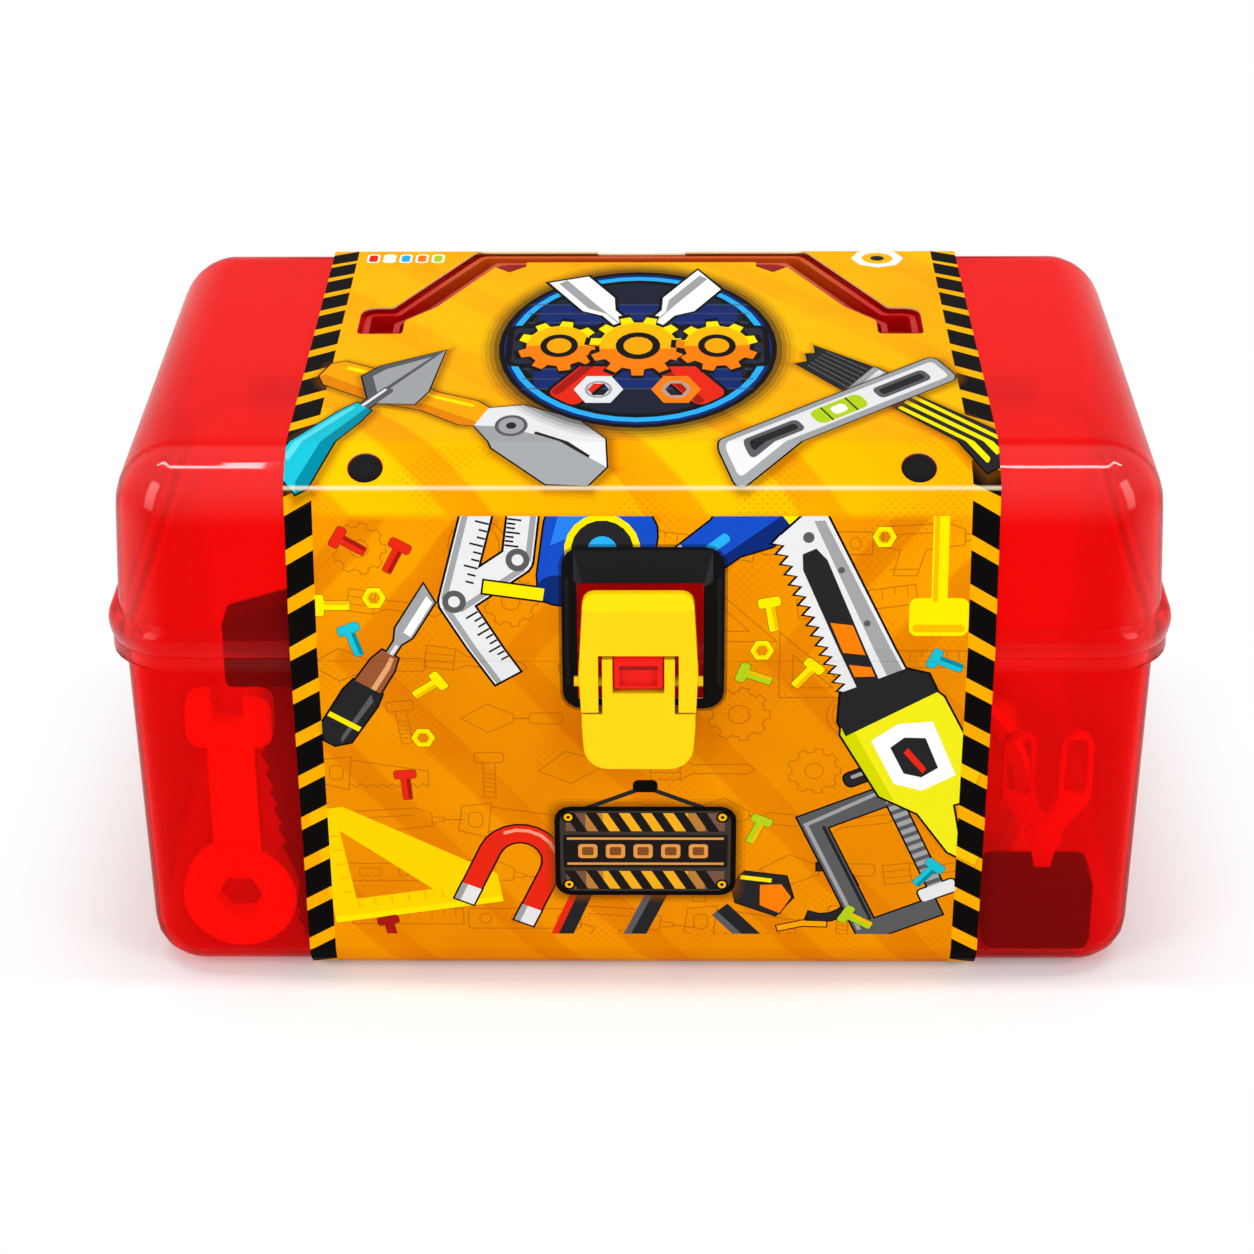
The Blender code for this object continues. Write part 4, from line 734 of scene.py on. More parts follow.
# Printed drawings in millimetres, a name and then its layers, the lowest first. A row is an ink, or the number
# of an ink that is given, with its cover after @, a width where only a line is drawn, the shape and its numbers,
# and after * a count and a step to repeat it. Bare points are a closed outline, and "even" mirrors them across
# the drawing's long axis. Among points ~ starts an arc, and 8x2,0|0,0|1,1 repeats a group of them.

MOTIFS = dict(block.split("\n", 1) for block in """trowel
steel even 0,0 8,11 15,10 33,0
grey 0,0 8,11 15,10 33,0
steel 5,1.5 10,8.4 15,7.6 28,1
grey box -4,-1.8 9,1.8 1
pale box -3,.2 8,1.2 .4
teal even -34,-3.6 -31,-5.6 -8,-4.2 -2,-3
teal_dark -34,-3.6 -31,-5.6 -8,-4.2 -2,-3 -2,-1 -32,-2
aqua -30,4.6 -8,3.4 -4,2.6 -4,1.6 -30,2.8

scraper
pale even 6,-4 14,-9 30,-9.6 40,-5.4 43,0
steel 6,-4 14,-9 30,-9.6 40,-5.4 43,0 14,-1
grey disc 15,0 4.4
steel disc 15,0 3.4
coal disc 15,0 1.4 12
coal 22,-.6 38,-.3 38,.3 22,.6
amber even -43,-3 -40,-5.6 -24,-6.4 -10,-4.2 2,-5.4 6,-4.2
rust -43,-3 -40,-5.6 -24,-6.4 -10,-4.2 2,-5.4 6,-4.2 6,-2.4 -10,-1.6 -24,-3.2 -42,-1.6
yellow -38,4.2 -24,5 -10,2.8 2,3.8 2,2.6 -10,1.6 -24,3.4 -38,2.8

square
straw 0,0 40,0 40,6 0,6
straw 0,0 6,0 6,32 0,32
straw 0,32 8,32 40,8 40,0 30,0
yellow 0,0 40,0 40,1.6 0,1.6
gold box 6,3.4 6.5,5.6 * 8 4,0
gold box 3.4,8 5.4,8.5 * 5 0,4

level
steel box -35,-5.6 35,5.6 2.4
pale box -33.4,-3.6 33.4,4 1.4
grey box -29,-2.2 -12,2.6 1.6 * 2 41,0
coal box -27.6,-1 -13.4,1.4 .9 * 2 41,0
lime box -8,-2.8 8,3.2 2.2
white box -2.2,-1.4 2.2,1.8 1.2
black box -4.2,-2.8 -3.7,3.2 * 2 7.9,0

brush
coal -33,-5.5 -15,-7 -15,7 -34,4.5 -31.5,2 -33.5,0 -31,-2.5
grey .4 path -30,-4 -16,-5
grey .4 path -30,-2.3 -16,-3
grey .4 path -30,-.6 -16,-1
grey .4 path -30,1.1 -16,1
grey .4 path -30,2.8 -16,3
grey .4 path -30,4.5 -16,5
steel box -15.5,-7.4 -7.5,7.4 .6
pale box -13.6,-7 -11.8,7
coal even -7.6,-6.4 -3,-4 30,-5.4 33,0
yellow box 0,-3.8 29,-2.4 .5
yellow box 0,-.8 30,.8 .5
yellow box 0,2.4 29,3.8 .5

tape
blue box -14,-14 12,12 6.5
navy box -14,-14 12,-7 4.5
azure -11,9 -4,11 6,11 -12,0
yellow disc 0,.5 8.8
coal disc 0,.5 7.2
sky disc 0,.5 3.4
yellow box -26,-13.6 -12,-10.6

torch
blue even -20,-5.5 6,-6 14,-9 22,-9
navy -20,-5.5 6,-6 14,-9 22,-9 22,-4 -20,-2.6
white even -12,-5.6 -4,-5.8
steel -12,-5.6 -4,-5.8 -4,-2.8 -12,-2.8
yellow box 21,-8.4 24,8.4 .8
sky box 0,-1.2 7,1.4 1

hand_saw
pale -52,6 -54,2 -51,-6.6 17x3,-.05|-51,-7|-49.8,-9.6|-48,-7 4,-9 4,8.4
steel -50,5 -51,2.4 3,3 3,7.6
coal -44,-3.8 -40,-5.4 -4,-5.6 -4,.6 -40,1.4 -44,0
orange -24,-4.6 -15,-4.8 -12,.2 -21,.4
orange -11,-4.8 -7,-4.9 -5,0 -8,.1
grey disc -47.5,-.6 1.5 12
grey disc -36,3.6 .9 10
grey disc -20,4 .9 10
lemon 0,-11 8,-15 30,-13 39,-6 41,8 33,15 8,14 0,10
olive 0,-11 8,-15 30,-13 33,-10 8,-11.4 3,-7
coal -4,-10 4,-14 9,-14 6,13 0,13 -4,8
white 13,-8.4 28,-8 33,-2 32,8 14,8.6 11,0
coal 17,-4.6 26,-4.4 29,-.6 28,4.6 18,5 15.6,0
red 20,-2 28,.2 27,1.6 19,-.4
lemon 38,-6 54,-3 61,2 59,4 50,1.6 40,4

chisel
steel -30,-3.2 -12,-3.2 -8,-1.3 -2,-1.3 -2,1.3 -8,1.3 -12,3.2 -26.5,3.2
white -27,-.2 -12,-.2 -12,2.6 -26,2.6
pale box -7,-.2 -2,.9
copper even -3,-3 2,-4.4 12,-4.8
bronze -2,.6 2,1 12,1.2 12,3 2,2.8 -2,2
coal even 12,-5.4 17,-6.4 34,-6 38,-2
grey 14,2.4 34,2.2 36,3.4 16,4.4
yellow box 27,-6 29,6

clamp
grey 6.6 path -12,-22 -12,20 13,20
grey 6.6 path -12,-22 7,-22
steel 1.2 path -14,-20 -14,20 12,22
coal 1 path -9.6,-18 -9.6,17
steel box 10,-15 14.4,28
grey box 10,-14 14.4,-12.6 * 13 0,3
pale box 6.6,-19 17.8,-14.6 1
coal box 2,27 22.4,31.4 1.6
steel box 4,29.2 20.4,30.4 .5

mallet
yellow box -2,-2 2,30 .8
yellow box -7.4,-10 7.4,0 2
gold box -1.6,-1 -.4,29 .3
gold box -6.6,-9 6.6,-7 1

magnet
red 5.2 bend 8.5,-14 ~0,0,8.5,0,180,15 -8.5,-14
coral 1 bend ~0,0,9.6,40,140,20
pale box 5.8,-18 11.2,-12.6 * 2 -17,0
steel box 5.8,-18 7.4,-12.6 * 2 -17,0

stub
0 -3,-16 3,-16 3,8 -3,8
1 -3,-16 -1,-16 -1,8 -3,8

plumb
coal 2.6 bend ~14,2,9,110,-110,-22
coal -10,-5 2,-8 6,-1 3,6 -9,6 -12,1
orange -3,-5 3,-7 5.4,-1 2,3 -4,2
yellow box -10,3.2 -1,4.6
amber 1.8 path 4,-12 10,-9.6 16,-9

bolt
0 box -1.3,-6.4 1.3,1 .5
0 box -3.1,.6 3.1,3.4 .8
1 box .2,-6.2 1.2,.6 .3

nut
0 hoop 0,0 3.3 1.5 6
1 hoop 0,0 1.9 1.5 12

long_chisel
white -36,-5.4 -19,-5.4 -14,-2.2 12,-2.2 12,2.2 -14,2.2 -19,5.4 -32,5.4
steel -34,-3.4 -19,-3.4 -14,-.8 10,-.8 10,.2 -19,-.6 -34,-.6
red box 11,-4.8 34,4.8 2.6
red_dark box 12,-4.4 33,-1.8 1.2

badge
black@.16 oval 0,0 42 63
black@.24 oval 0,0 40.8 61.08
black@.34 oval 0,0 39.6 59.16
black@.5 oval 0,0 38.4 57.24
black oval 0,0 37 55
navy oval 0,0 35.6 52.8
sky oval 0,0 34.6 51.2
black oval 0,0 32.8 48.4
night oval 0,0 31.2 46
navy@.8 box -27,-30 27,-12 3
navy@.8 box -27,12 27,30 3
slate@.8 box -30,-30 30,-29.2 * 10 0,6.6

badge_bar
black box -35,-14.5 35,14.5 3
dusk box -33.4,-12.6 33.4,12.6 2.2

badge_nut
0 hoop 0,0 6.4 2.8 6
steel hoop 0,0 3.6 2.8 14

chips
white box -11,-3.4 -7.4,3.4 1.2 * 5 4.6,0
red box -10.4,-2.6 -8,2.6 .9
white box -5.8,-2.6 -3.4,2.6 .9
sky box -1.2,-2.6 1.2,2.6 .9
orange box 3.4,-2.6 5.8,2.6 .9
lime box 8,-2.6 10.4,2.6 .9

ring
white hoop 0,0 7.4 .2 8
gold disc 0,0 4.4 18
coal disc 0,0 2 12

rivet_plate
shade@.16 box -26,-16.4 26,16.4 4.6
shade@.3 box -25.2,-15.6 25.2,15.6 4.6
shade@.4 box -24.4,-14.8 24.4,14.8 4.6
coal 1.3 path -15,13.6 0,20 15,13.6
black box -3.2,18.4 3.2,22.2 1.4
black box -23.6,-14 23.6,14 4.2
soot box -22.2,-12.6 22.2,12.6 3.2
umber box -20.6,-11.9 20.6,-6.3 * 2 0,18.2
ochre box -15.5,-11.9 15.5,-6.3 * 2 0,18.2
honey box -11,-11.9 11,-6.3 * 2 0,18.2
pitch -17.8,-12.1 -14.9,-12.1 -18.4,-6.1 -21.3,-6.1 * 7 5.7,0
pitch -17.8,6.1 -14.9,6.1 -18.4,12.1 -21.3,12.1 * 7 5.7,0
pitch box -21.4,-5.2 21.4,5.2 .6
tan box -20.4,-4.3 20.4,-3.6 * 2 0,7.9
tan box -17.5,-2.2 -12.5,2.2 .9 * 5 7.2,0
brown box -16.5,-1.3 -13.5,1.3 .5 * 5 7.2,0

rivet
black disc 0,0 1.7 12
gold disc 0,0 1.15 12
black disc 0,0 .5 8

latch_frame
jet box -20.4,-44.5 20.4,0 5
jet_top -17.4,-.8 17.4,-.8 15,-10.6 -15,-10.6
jet_left -17.4,-.8 -15,-10.6 -17.4,-9
jet_right 17.4,-.8 17.4,-9 15,-10.6
jet_edge box -19.6,-37.5 -18.6,-8 * 2 38.2,0""".split("\n\n"))

# Faint line drawings strewn over the front, in the same rows
LINE_DRAWINGS = """line .32 cog 0,0 7 9
line .32 disc 0,0 2.4 14

line .32 box -14,-2.4 14,2.4
line .28 path -12,2.4 -12,-.2 * 5 6,0
line .28 path -9,2.4 -9,.8 * 4 6,0

line .32 path -6,3.4 13,.2 8x-2.6,0|13,-4.6|11.7,-3.6 -7,-4
line .34 -6,4.4 -13,3.6 -14,-3.4 -7,-5.4
line .3 box -11.6,-2.4 -8.2,1.8 1.2

line .32 -12,-3 -5,-3 -5,3 -12,3
line .28 path -12,-1 -5,-1 * 2 0,2
line .32 path -5,-3 -2,-1.2 11,-1.4 12.6,0 11,1.4 -2,1.2 -5,3

line .32 -9,-8 10,-8 -9,9
line .3 -6,-5.4 3.4,-5.4 -6,3.4

line .32 -12,3 3,4 7,2.4 7,-1.4 -2,-2.6 -4,-9 -9.6,-9 -8,-2.6 -12,-2
line .3 path 7,1.4 10,1 10,0 7,-.4
line .4 path 10,.5 15,.5
line .28 path -10,1 2,1.8
line .28 path -10.4,-7.4 -4,-7.4

line .32 -13,0 -6,4.4 1,1.2 1,-1.2 -6,-4.4
line .5 path 1,0 5,0
line .3 box 5,-1.7 14,1.7 1.2

line .32 disc 0,0 6.4 22
line .26 disc 0,0 4.9 20
line .3 disc 0,0 1.5 10

line .32 box -13,-2.8 13,2.8 .8
line .28 box -3,-1.3 3,1.3 .9
line .28 disc -9,0 1.4 10 * 2 18,0

line .3 box -1.5,-8.6 1.5,1.6
line .32 box -3.6,1.6 3.6,4.6 .8
line .26 path -1.4,-1.4 1.4,-2 * 5 0,-1.3""".split("\n\n")


def folding_rule():
    """A pale folding rule of four arms with riveted joints, a grey edge and tick marks."""
    joints = [Vector(spot) for spot in ((-2, 30), (-9, 3), (7, 14), (9, 30))]
    lower = [joints[1], Vector((4, -18))]
    arms = [*zip(joints, joints[1:]), lower]
    bars = [disc(*spot, 3.7, 16) for spot in joints] + [bar for arm in arms for bar in band(arm, 7.4)]
    marks, edges = [], []
    for a, b in (joints[:2], joints[2:], lower):
        way = (b - a).normalized()
        side = Vector((-way.y, way.x))
        for i in range(3, 12):
            root = a.lerp(b, i / 14) + side * 3.4
            marks += stroke([root, root - side * (3.0 if i % 3 == 0 else 1.6)], 0.5)
    for a, b in arms:
        side = Vector(((a - b).y, (b - a).x)).normalized() * -2.6
        edges += band([a + side, b + side], 1.5)
    return [(bars, "pale", 1.0), (edges, "steel", 1.0), (marks, "black", 1.0),
            ([disc(*spot, 3.0) for spot in joints], "grey", 1.0),
            ([disc(*spot, 1.5, 12) for spot in joints], "pale", 1.0)]


def drawn(name, *inks):
    """The layers of a printed motif, in the inks given where it leaves them open."""
    return folding_rule() if name == "folding_rule" else read_rows(MOTIFS[name], *inks)


def placed(outlines, x, s, turn=0.0, size=1.0, tall=1.0):
    """Outlines turned by degrees, scaled, stretched along s and moved to x and s."""
    cosine = math.cos(math.radians(turn)) * size
    sine = math.sin(math.radians(turn)) * size
    return [[(x + a * cosine - b * sine, s + (a * sine + b * cosine) * tall) for a, b in line] for line in outlines]


class Layout:
    """Everything printed on the flat card, in the order in which it is printed."""

    def __init__(self):
        self.inks = []

    def lay(self, outlines, ink=None, cover=1.0):
        """Print the outlines; without an ink they are taken back to the ground."""
        self.inks.append((outlines, ink and INKS[ink], cover))

    def motif(self, layers, x, s, turn=0.0, size=1.0, outline=0.0, tall=1.0, shadow=False):
        """A motif at x and s, over its soft shadow and its dark outline."""
        solid = [(placed(outlines, x, s, turn, size, tall), ink, cover) for outlines, ink, cover in layers]
        every = [line for outlines, _, _ in solid for line in outlines if abs(area(line)) > SMALLEST_OUTLINED]
        if shadow:
            for reach, cover in ((3.0, 0.12), (2.3, 0.16), (1.6, 0.22), (1.0, 0.26)):
                self.lay([[(px + 0.5, py - 0.8) for px, py in grown(line, reach)] for line in every], "shade", cover)
        if outline:
            self.lay([grown(line, outline) for line in every], "black")
        for layer in solid:
            self.lay(*layer)

    def strew(self, rows, tall=1.0, shadow=False):
        """Motifs from rows: a name, its inks, x, s, turn, size and the width of its outline."""
        for row in rows.split("\n"):
            name, *words = row.split()
            numbers = [float(word) for word in words[-5:]]
            self.motif(drawn(name, *words[:-5]), *numbers, tall, shadow)


FRONT_MOTIFS = """square -80 -127 9 1.12 0
mallet 75 -29 0 1 0
magnet -31 -107 -24 1 .5
stub coal red -17 -122 -22 .92 0
stub coal grey 3 -121 -24 .92 0
stub coal grey 26 -128 42 .92 0
plumb 35 -117 -8 .92 .35
folding_rule -37 -33 0 1 .6
chisel -63.6 -46 -122 .76 .5
torch 17 -17 38 .98 .5
tape -9 -17 -8 1.08 .5
clamp 62 -107 24 .9 .5
hand_saw 61.5 -55 -66 .97 .6
bolt red red_dark -73 -14 60 .92 .12
bolt red red_dark -60 -17 -28 .92 .12
nut yellow gold -66 -29 0 .92 .12
bolt yellow gold -78 -31 90 .92 .12
bolt yellow gold -52 -53 -55 .92 .12
bolt red red_dark -60 -82 4 .92 .12
nut yellow gold -55 -69 0 .92 .12
bolt yellow gold 33 -32 10 .92 .12
nut yellow gold 31 -43 0 .92 .12
nut yellow gold 61 -13 0 .92 .12
bolt teal teal_dark 76 -46 66 .92 .12
bolt teal teal_dark -72 -39 20 .92 .12
bolt lime gold 31 -96 -24 .92 .12
bolt teal teal_dark 76 -110 -40 .92 .12
bolt lime gold 28 -50 70 .92 .12
bolt yellow gold 43 -49 -40 .92 .12
bolt red_dark red_dark -66 -128 12 .92 .12
bolt lime gold 56 -125 60 .92 .12"""

TOP_MOTIFS = """scraper -45 33 -24.5 .95 .45
trowel -69 38 52 .86 .45
brush 68 39 -40 .93 .45
level 51 34 31 .97 .45"""


def strip_bars(low, high):
    """Centre and period of each black bar: even on the front and the back, wider on the front of the top."""
    below = math.ceil((STRIP_FIRST - low) / STRIP_PERIOD) + 1
    bars = [(STRIP_FIRST - STRIP_PERIOD * i, STRIP_PERIOD) for i in range(below)]
    bars.append((STRIP_CREASE, STRIP_PERIOD * 0.84))
    for i in range(1, STRIP_ROOF_COUNT + 1):
        centre = i * STRIP_ROOF_STEP - i ** 3 * STRIP_ROOF_DROP
        bars.append((centre, STRIP_ROOF_STEP - 2.4 * i ** 2 * STRIP_ROOF_DROP))
    last = bars[-1][0] + STRIP_PERIOD
    while last < high + STRIP_PERIOD:
        bars.append((last, STRIP_PERIOD))
        last += STRIP_PERIOD
    return bars


def hazard_strips(layout, left, right, low, high):
    """Slanted black bars down both edges of the card, mirror images of each other."""
    bars = []
    for centre, period in strip_bars(low, high):
        half = period * STRIP_BLACK_SHARE / 2
        rise = STRIP_RISE / 2 * period / STRIP_PERIOD
        for edge, way in ((left, 1), (right, -1)):
            outer, inner = centre - rise, centre + rise
            bars.append([(edge, outer - half), (edge + way * STRIP_WIDTH, inner - half),
                         (edge + way * STRIP_WIDTH, inner + half), (edge, outer + half)])
    layout.lay([box(left, low, left + STRIP_WIDTH, high), box(right - STRIP_WIDTH, low, right, high)],
               "marigold", 0.75)
    layout.lay(bars, "black")


def badge(layout, x, s):
    """The badge in the middle of the top: a dark oval with a blue edge, two chisels and a train of cogs."""
    layout.motif(drawn("badge"), x, s)
    for turn in (-54, -126):
        layout.motif(drawn("long_chisel"), x, s + 6, turn, 0.98, 1.0, ROOF_STRETCH)
    layout.motif(drawn("badge_bar"), x, s)
    for place, radius, teeth, turn in ((-21, 11.0, 9, 0.0), (0, 13.0, 11, 8.0), (21, 11.0, 9, 16.0)):
        for share, rim, sides, ink, cut in ((1.0, 1.4, 0, "black", None), (1.0, 0.0, 0, "orange", None),
                                            (1.0, 0.0, 0, "yellow", 0.0), (0.78, 0.0, 24, "gold", 0.3),
                                            (0.46, 0.0, 20, "black", None), (0.30, 0.0, 16, "amber", None)):
            reach = radius * share + rim
            shape = disc(0, 0, reach, sides) if sides else cog(0, 0, reach, teeth, 0.2)
            wheel = placed([shape], x + place, s, turn, 1.0, ROOF_STRETCH)[0]
            layout.lay([[point for point in wheel if cut is None or point[1] > s - radius * cut]], ink)
    for side, ink in ((-10, "pale"), (10, "orange")):
        layout.motif(drawn("badge_nut", ink), x + side, s - 30, tall=ROOF_STRETCH)


def card_layout(left, right, low, high):
    """The whole print, front and top."""
    layout = Layout()
    drawings = [read_rows(rows) for rows in LINE_DRAWINGS]
    random.seed(7)
    row = 0
    s = -15.0
    while s > PRINT_FOOT:
        x = left + DRAWING_INSET + (9.0 if row % 2 else 0.0)
        column = 0
        while x < right - 12.0:
            pick = drawings[(row * 3 + column * 7) % len(drawings)]
            lines = [line for outlines, _, _ in pick for line in outlines]
            layout.lay(placed(lines, x + random.uniform(-2, 2), s + random.uniform(-1.5, 1.5),
                              random.choice((0, 0, 0, 8, -8)), random.uniform(0.95, 1.15)), "line", 0.62)
            x += DRAWING_STEP
            column += 1
        s -= DRAWING_ROW
        row += 1

    layout.strew(FRONT_MOTIFS)
    layout.motif(drawn("rivet_plate"), PLATE_X, PLATE_S)
    for side in (-20.0, 20.0):
        for rise in (-10.6, 10.6):
            layout.motif(drawn("rivet"), PLATE_X + side, PLATE_S + rise)
    layout.lay([box(left, PRINT_LINE, right, high), box(left, low, right, PRINT_FOOT)])

    hazard_strips(layout, left, right, low, high)
    layout.strew(TOP_MOTIFS, ROOF_STRETCH, True)
    badge(layout, BADGE_X, BADGE_S)
    layout.motif(drawn("chips"), -MARKS_X, MARKS_S)
    layout.motif(drawn("ring"), MARKS_X, MARKS_S)
    frame_rows = drawn("latch_frame")
    rim = placed(frame_rows[0][0], LATCH_X, FRAME_TOP_S)[0]
    layout.lay([grown(rim, 0.7)], "black", 0.55)
    layout.motif(frame_rows, LATCH_X, FRAME_TOP_S)
    return layout


def fold_card(node, name, materials, thickness):
    """One part of the card: its print as a flat drawing, folded round the box with its thickness."""
    fold = Fold(node)
    loops = sheet_loops(node, fold)
    end = fold.corners[0][0]
    lap = SLIT_CLOSING if fold.upward else -SLIT_CLOSING
    outline = loops[0] = [(x, s - lap if abs(s - end) < 0.05 else s) for x, s in loops[0]]
    left = min(x for x, _ in outline)
    right = max(x for x, _ in outline)
    low = min(s for _, s in outline)
    high = max(s for _, s in outline)
    layout = card_layout(left, right, min(low, LAYOUT_LOW), max(high, LAYOUT_HIGH))
    points, faces, inks = [], [], []

    def add(loop, tag):
        start = len(points)
        points.extend(Vector(p) for p in (loop if area(loop) > 0 else loop[::-1]))
        faces.append(list(range(start, start + len(loop))))
        inks.append(tag)

    add(outline, "sheet")
    for hole in loops[1:]:
        add(hole, "hole")
    for number, (outlines, _, _) in enumerate(layout.inks):
        for line in outlines:
            span = [s for _, s in line]
            if max(span) < low or min(span) > high or abs(area(line)) < 0.01:
                continue
            add(line, number)
    edges = []
    for s, _ in fold.stations[1:-1]:
        edges.append((len(points), len(points) + 1))
        points.extend((Vector((left - 1.0, s)), Vector((right + 1.0, s))))
    for column in range(1, SHEET_COLUMNS):
        x = left + (right - left) * column / SHEET_COLUMNS
        edges.append((len(points), len(points) + 1))
        points.extend((Vector((x, low - 1.0)), Vector((x, high + 1.0))))

    verts, _, triangles, _, _, origins = delaunay_2d_cdt(points, edges, faces, 0, 0.00001, True)
    builder = bmesh.new()
    sheet = builder.loops.layers.uv.new("sheet")
    colour = builder.loops.layers.float_color.new("ink")
    upper, under = {}, {}
    kept = []
    for triangle, origin in zip(triangles, origins):
        tags = {inks[i] for i in origin}
        if "sheet" not in tags or "hole" in tags:
            continue
        kept.append((triangle, sorted(t for t in tags if isinstance(t, int))))
        for index in triangle:
            if index not in upper:
                x, s = verts[index]
                upper[index] = builder.verts.new(fold.at(x, s, 0.0))
                under[index] = builder.verts.new(fold.at(x, s, thickness))
    open_edges = {}
    close = end - lap
    for triangle, numbers in kept:
        a, b, c = (verts[i] for i in triangle)
        if (b - a).cross(c - a) < 0:
            triangle = triangle[::-1]
        face = builder.faces.new([upper[i] for i in triangle])
        back = builder.faces.new([under[i] for i in reversed(triangle)])
        back.material_index = 1
        face.smooth = back.smooth = True
        tint, cover = (0.0, 0.0, 0.0), 0.0
        for number in numbers:
            _, ink, alpha = layout.inks[number]
            if ink is None:
                tint, cover = (0.0, 0.0, 0.0), 0.0
                continue
            total = alpha + cover * (1 - alpha)
            tint = tuple((i * alpha + t * cover * (1 - alpha)) / total for i, t in zip(ink, tint))
            cover = total
        for loop, index in zip(face.loops, triangle):
            loop[sheet].uv = verts[index]
            loop[colour] = (*tint, cover)
        for i in range(3):
            pair = (triangle[i], triangle[(i + 1) % 3])
            if (pair[1], pair[0]) in open_edges:
                del open_edges[(pair[1], pair[0])]
            else:
                open_edges[pair] = (*tint, cover)
    for (a, b), tint in open_edges.items():
        side = builder.faces.new((upper[b], upper[a], under[a], under[b]))
        if abs(verts[a].y - close) < 0.05 and abs(verts[b].y - close) < 0.05:
            for loop, index in zip(side.loops, (b, a, a, b)):
                loop[sheet].uv = verts[index]
                loop[colour] = tint
        else:
            side.material_index = 1
    bmesh.ops.recalc_face_normals(builder, faces=builder.faces)
    piece = link(name, builder, materials)
    piece.data.set_sharp_from_angle(angle=math.radians(50))
    return piece


class SHELL_PG_look(bpy.types.PropertyGroup):
    """Sizes and colours of the clear shells and the latch."""

    shell_colour: bpy.props.FloatVectorProperty(
        name="Shell colour", description="Colour of the clear red plastic", subtype="COLOR", size=3,
        default=(1.0, 0.024, 0.022), min=0.0, max=1.0)
    shell_clearness: bpy.props.FloatProperty(
        name="Shell clearness", description="Share of the light that goes through the plastic", subtype="FACTOR",
        default=0.92, min=0.0, max=1.0)
    handle_colour: bpy.props.FloatVectorProperty(
        name="Handle colour", description="Colour of the carry handle", subtype="COLOR", size=3,
        default=(0.46, 0.003, 0.003), min=0.0, max=1.0)
    latch_colour: bpy.props.FloatVectorProperty(
        name="Latch colour", description="Colour of the bail and the lever", subtype="COLOR", size=3,
        default=(0.87, 0.59, 0.0), min=0.0, max=1.0)
    latch_edge: bpy.props.FloatProperty(
        name="Latch edge", description="Radius of the latch's edges", subtype="DISTANCE", default=0.0004,
        min=0.0, max=0.001)


class SHELL_PG_card(bpy.types.PropertyGroup):
    """Sizes of the printed card."""

    thickness: bpy.props.FloatProperty(
        name="Card thickness", description="Thickness of the folded card", subtype="DISTANCE", default=0.0005,
        min=0.0002, max=0.001)


class SHELL_OT_stage(bpy.types.Operator):
    """Make the floor, the lamps and the camera"""

    bl_idname = "toy_box.stage"
    bl_label = "Stage"

    def execute(self, context):
        scene = context.scene
        scene.view_settings.view_transform = "Standard"
        builder = bmesh.new()
        bmesh.ops.create_grid(builder, x_segments=1, y_segments=1, size=6.0)
        bmesh.ops.translate(builder, verts=builder.verts, vec=(0.0, 0.0, -FLOOR_DROP))
        paint = Shader("floor")
        paint.set(Base_Color=(0.92, 0.92, 0.92), Roughness=0.6, Specular_IOR_Level=0.1)
        seen = paint.seen()
        far = paint.place()
        for operation, inputs in (("ABSOLUTE", {}), ("SUBTRACT", {1: FOOTPRINT}), ("MAXIMUM", {1: (0.0, 0.0, 0.0)}),
                                  ("LENGTH", {})):
            far = paint.node("ShaderNodeVectorMath", {"operation": operation}, {0: far, **inputs},
                             1 if operation == "LENGTH" else 0)
        white = paint.node("ShaderNodeEmission", None, {"Color": (1.0, 1.0, 1.0), "Strength": 1.0})
        lit = paint.node("ShaderNodeMixShader", None, {
            0: seen * (far.smooth(0.0, 0.060) * 0.85 + 0.15),
            1: Value(paint, paint.surface.outputs[0]), 2: white})
        paint.feed(paint.tree.nodes["Material Output"].inputs["Surface"], lit)
        floor = link("floor", builder, [paint.material])

        world = bpy.data.worlds.new("studio")
        scene.world = world
        world.use_nodes = True
        sky = Tree(world.node_tree)
        ground = sky.tree.nodes["Background"]
        sky.feed(ground.inputs["Color"], (1.0, 1.0, 1.0))
        sky.feed(ground.inputs["Strength"], sky.seen() * (1 - SKY_LIGHT) + SKY_LIGHT)

        for name, place, width, height, watts in LAMPS:
            data = bpy.data.lights.new(name, "AREA")
            data.shape = "RECTANGLE"
            data.size, data.size_y, data.energy = width, height, watts
            lamp = bpy.data.objects.new(name, data)
            lamp.location = place
            lamp.rotation_euler = (Vector((0, 0, 0.05)) - Vector(place)).to_track_quat("-Z", "Y").to_euler()
            scene.collection.objects.link(lamp)

        camera = bpy.data.cameras.new("camera")
        camera.lens = CAMERA_LENS
        camera.clip_start = 0.01
        camera.clip_end = 50.0
        eye = bpy.data.objects.new("camera", camera)
        down, yaw = math.radians(CAMERA_DOWN), math.radians(CAMERA_YAW)
        forward = Vector((math.sin(yaw) * math.cos(down), math.cos(yaw) * math.cos(down), -math.sin(down)))
        eye.location = Vector(CAMERA_AIM) - forward * CAMERA_REACH
        roll = Quaternion((0.0, 0.0, 1.0), math.radians(CAMERA_ROLL))
        eye.rotation_euler = (forward.to_track_quat("-Z", "Y") @ roll).to_euler()
        scene.collection.objects.link(eye)
        scene.camera = eye
        return {"FINISHED"}


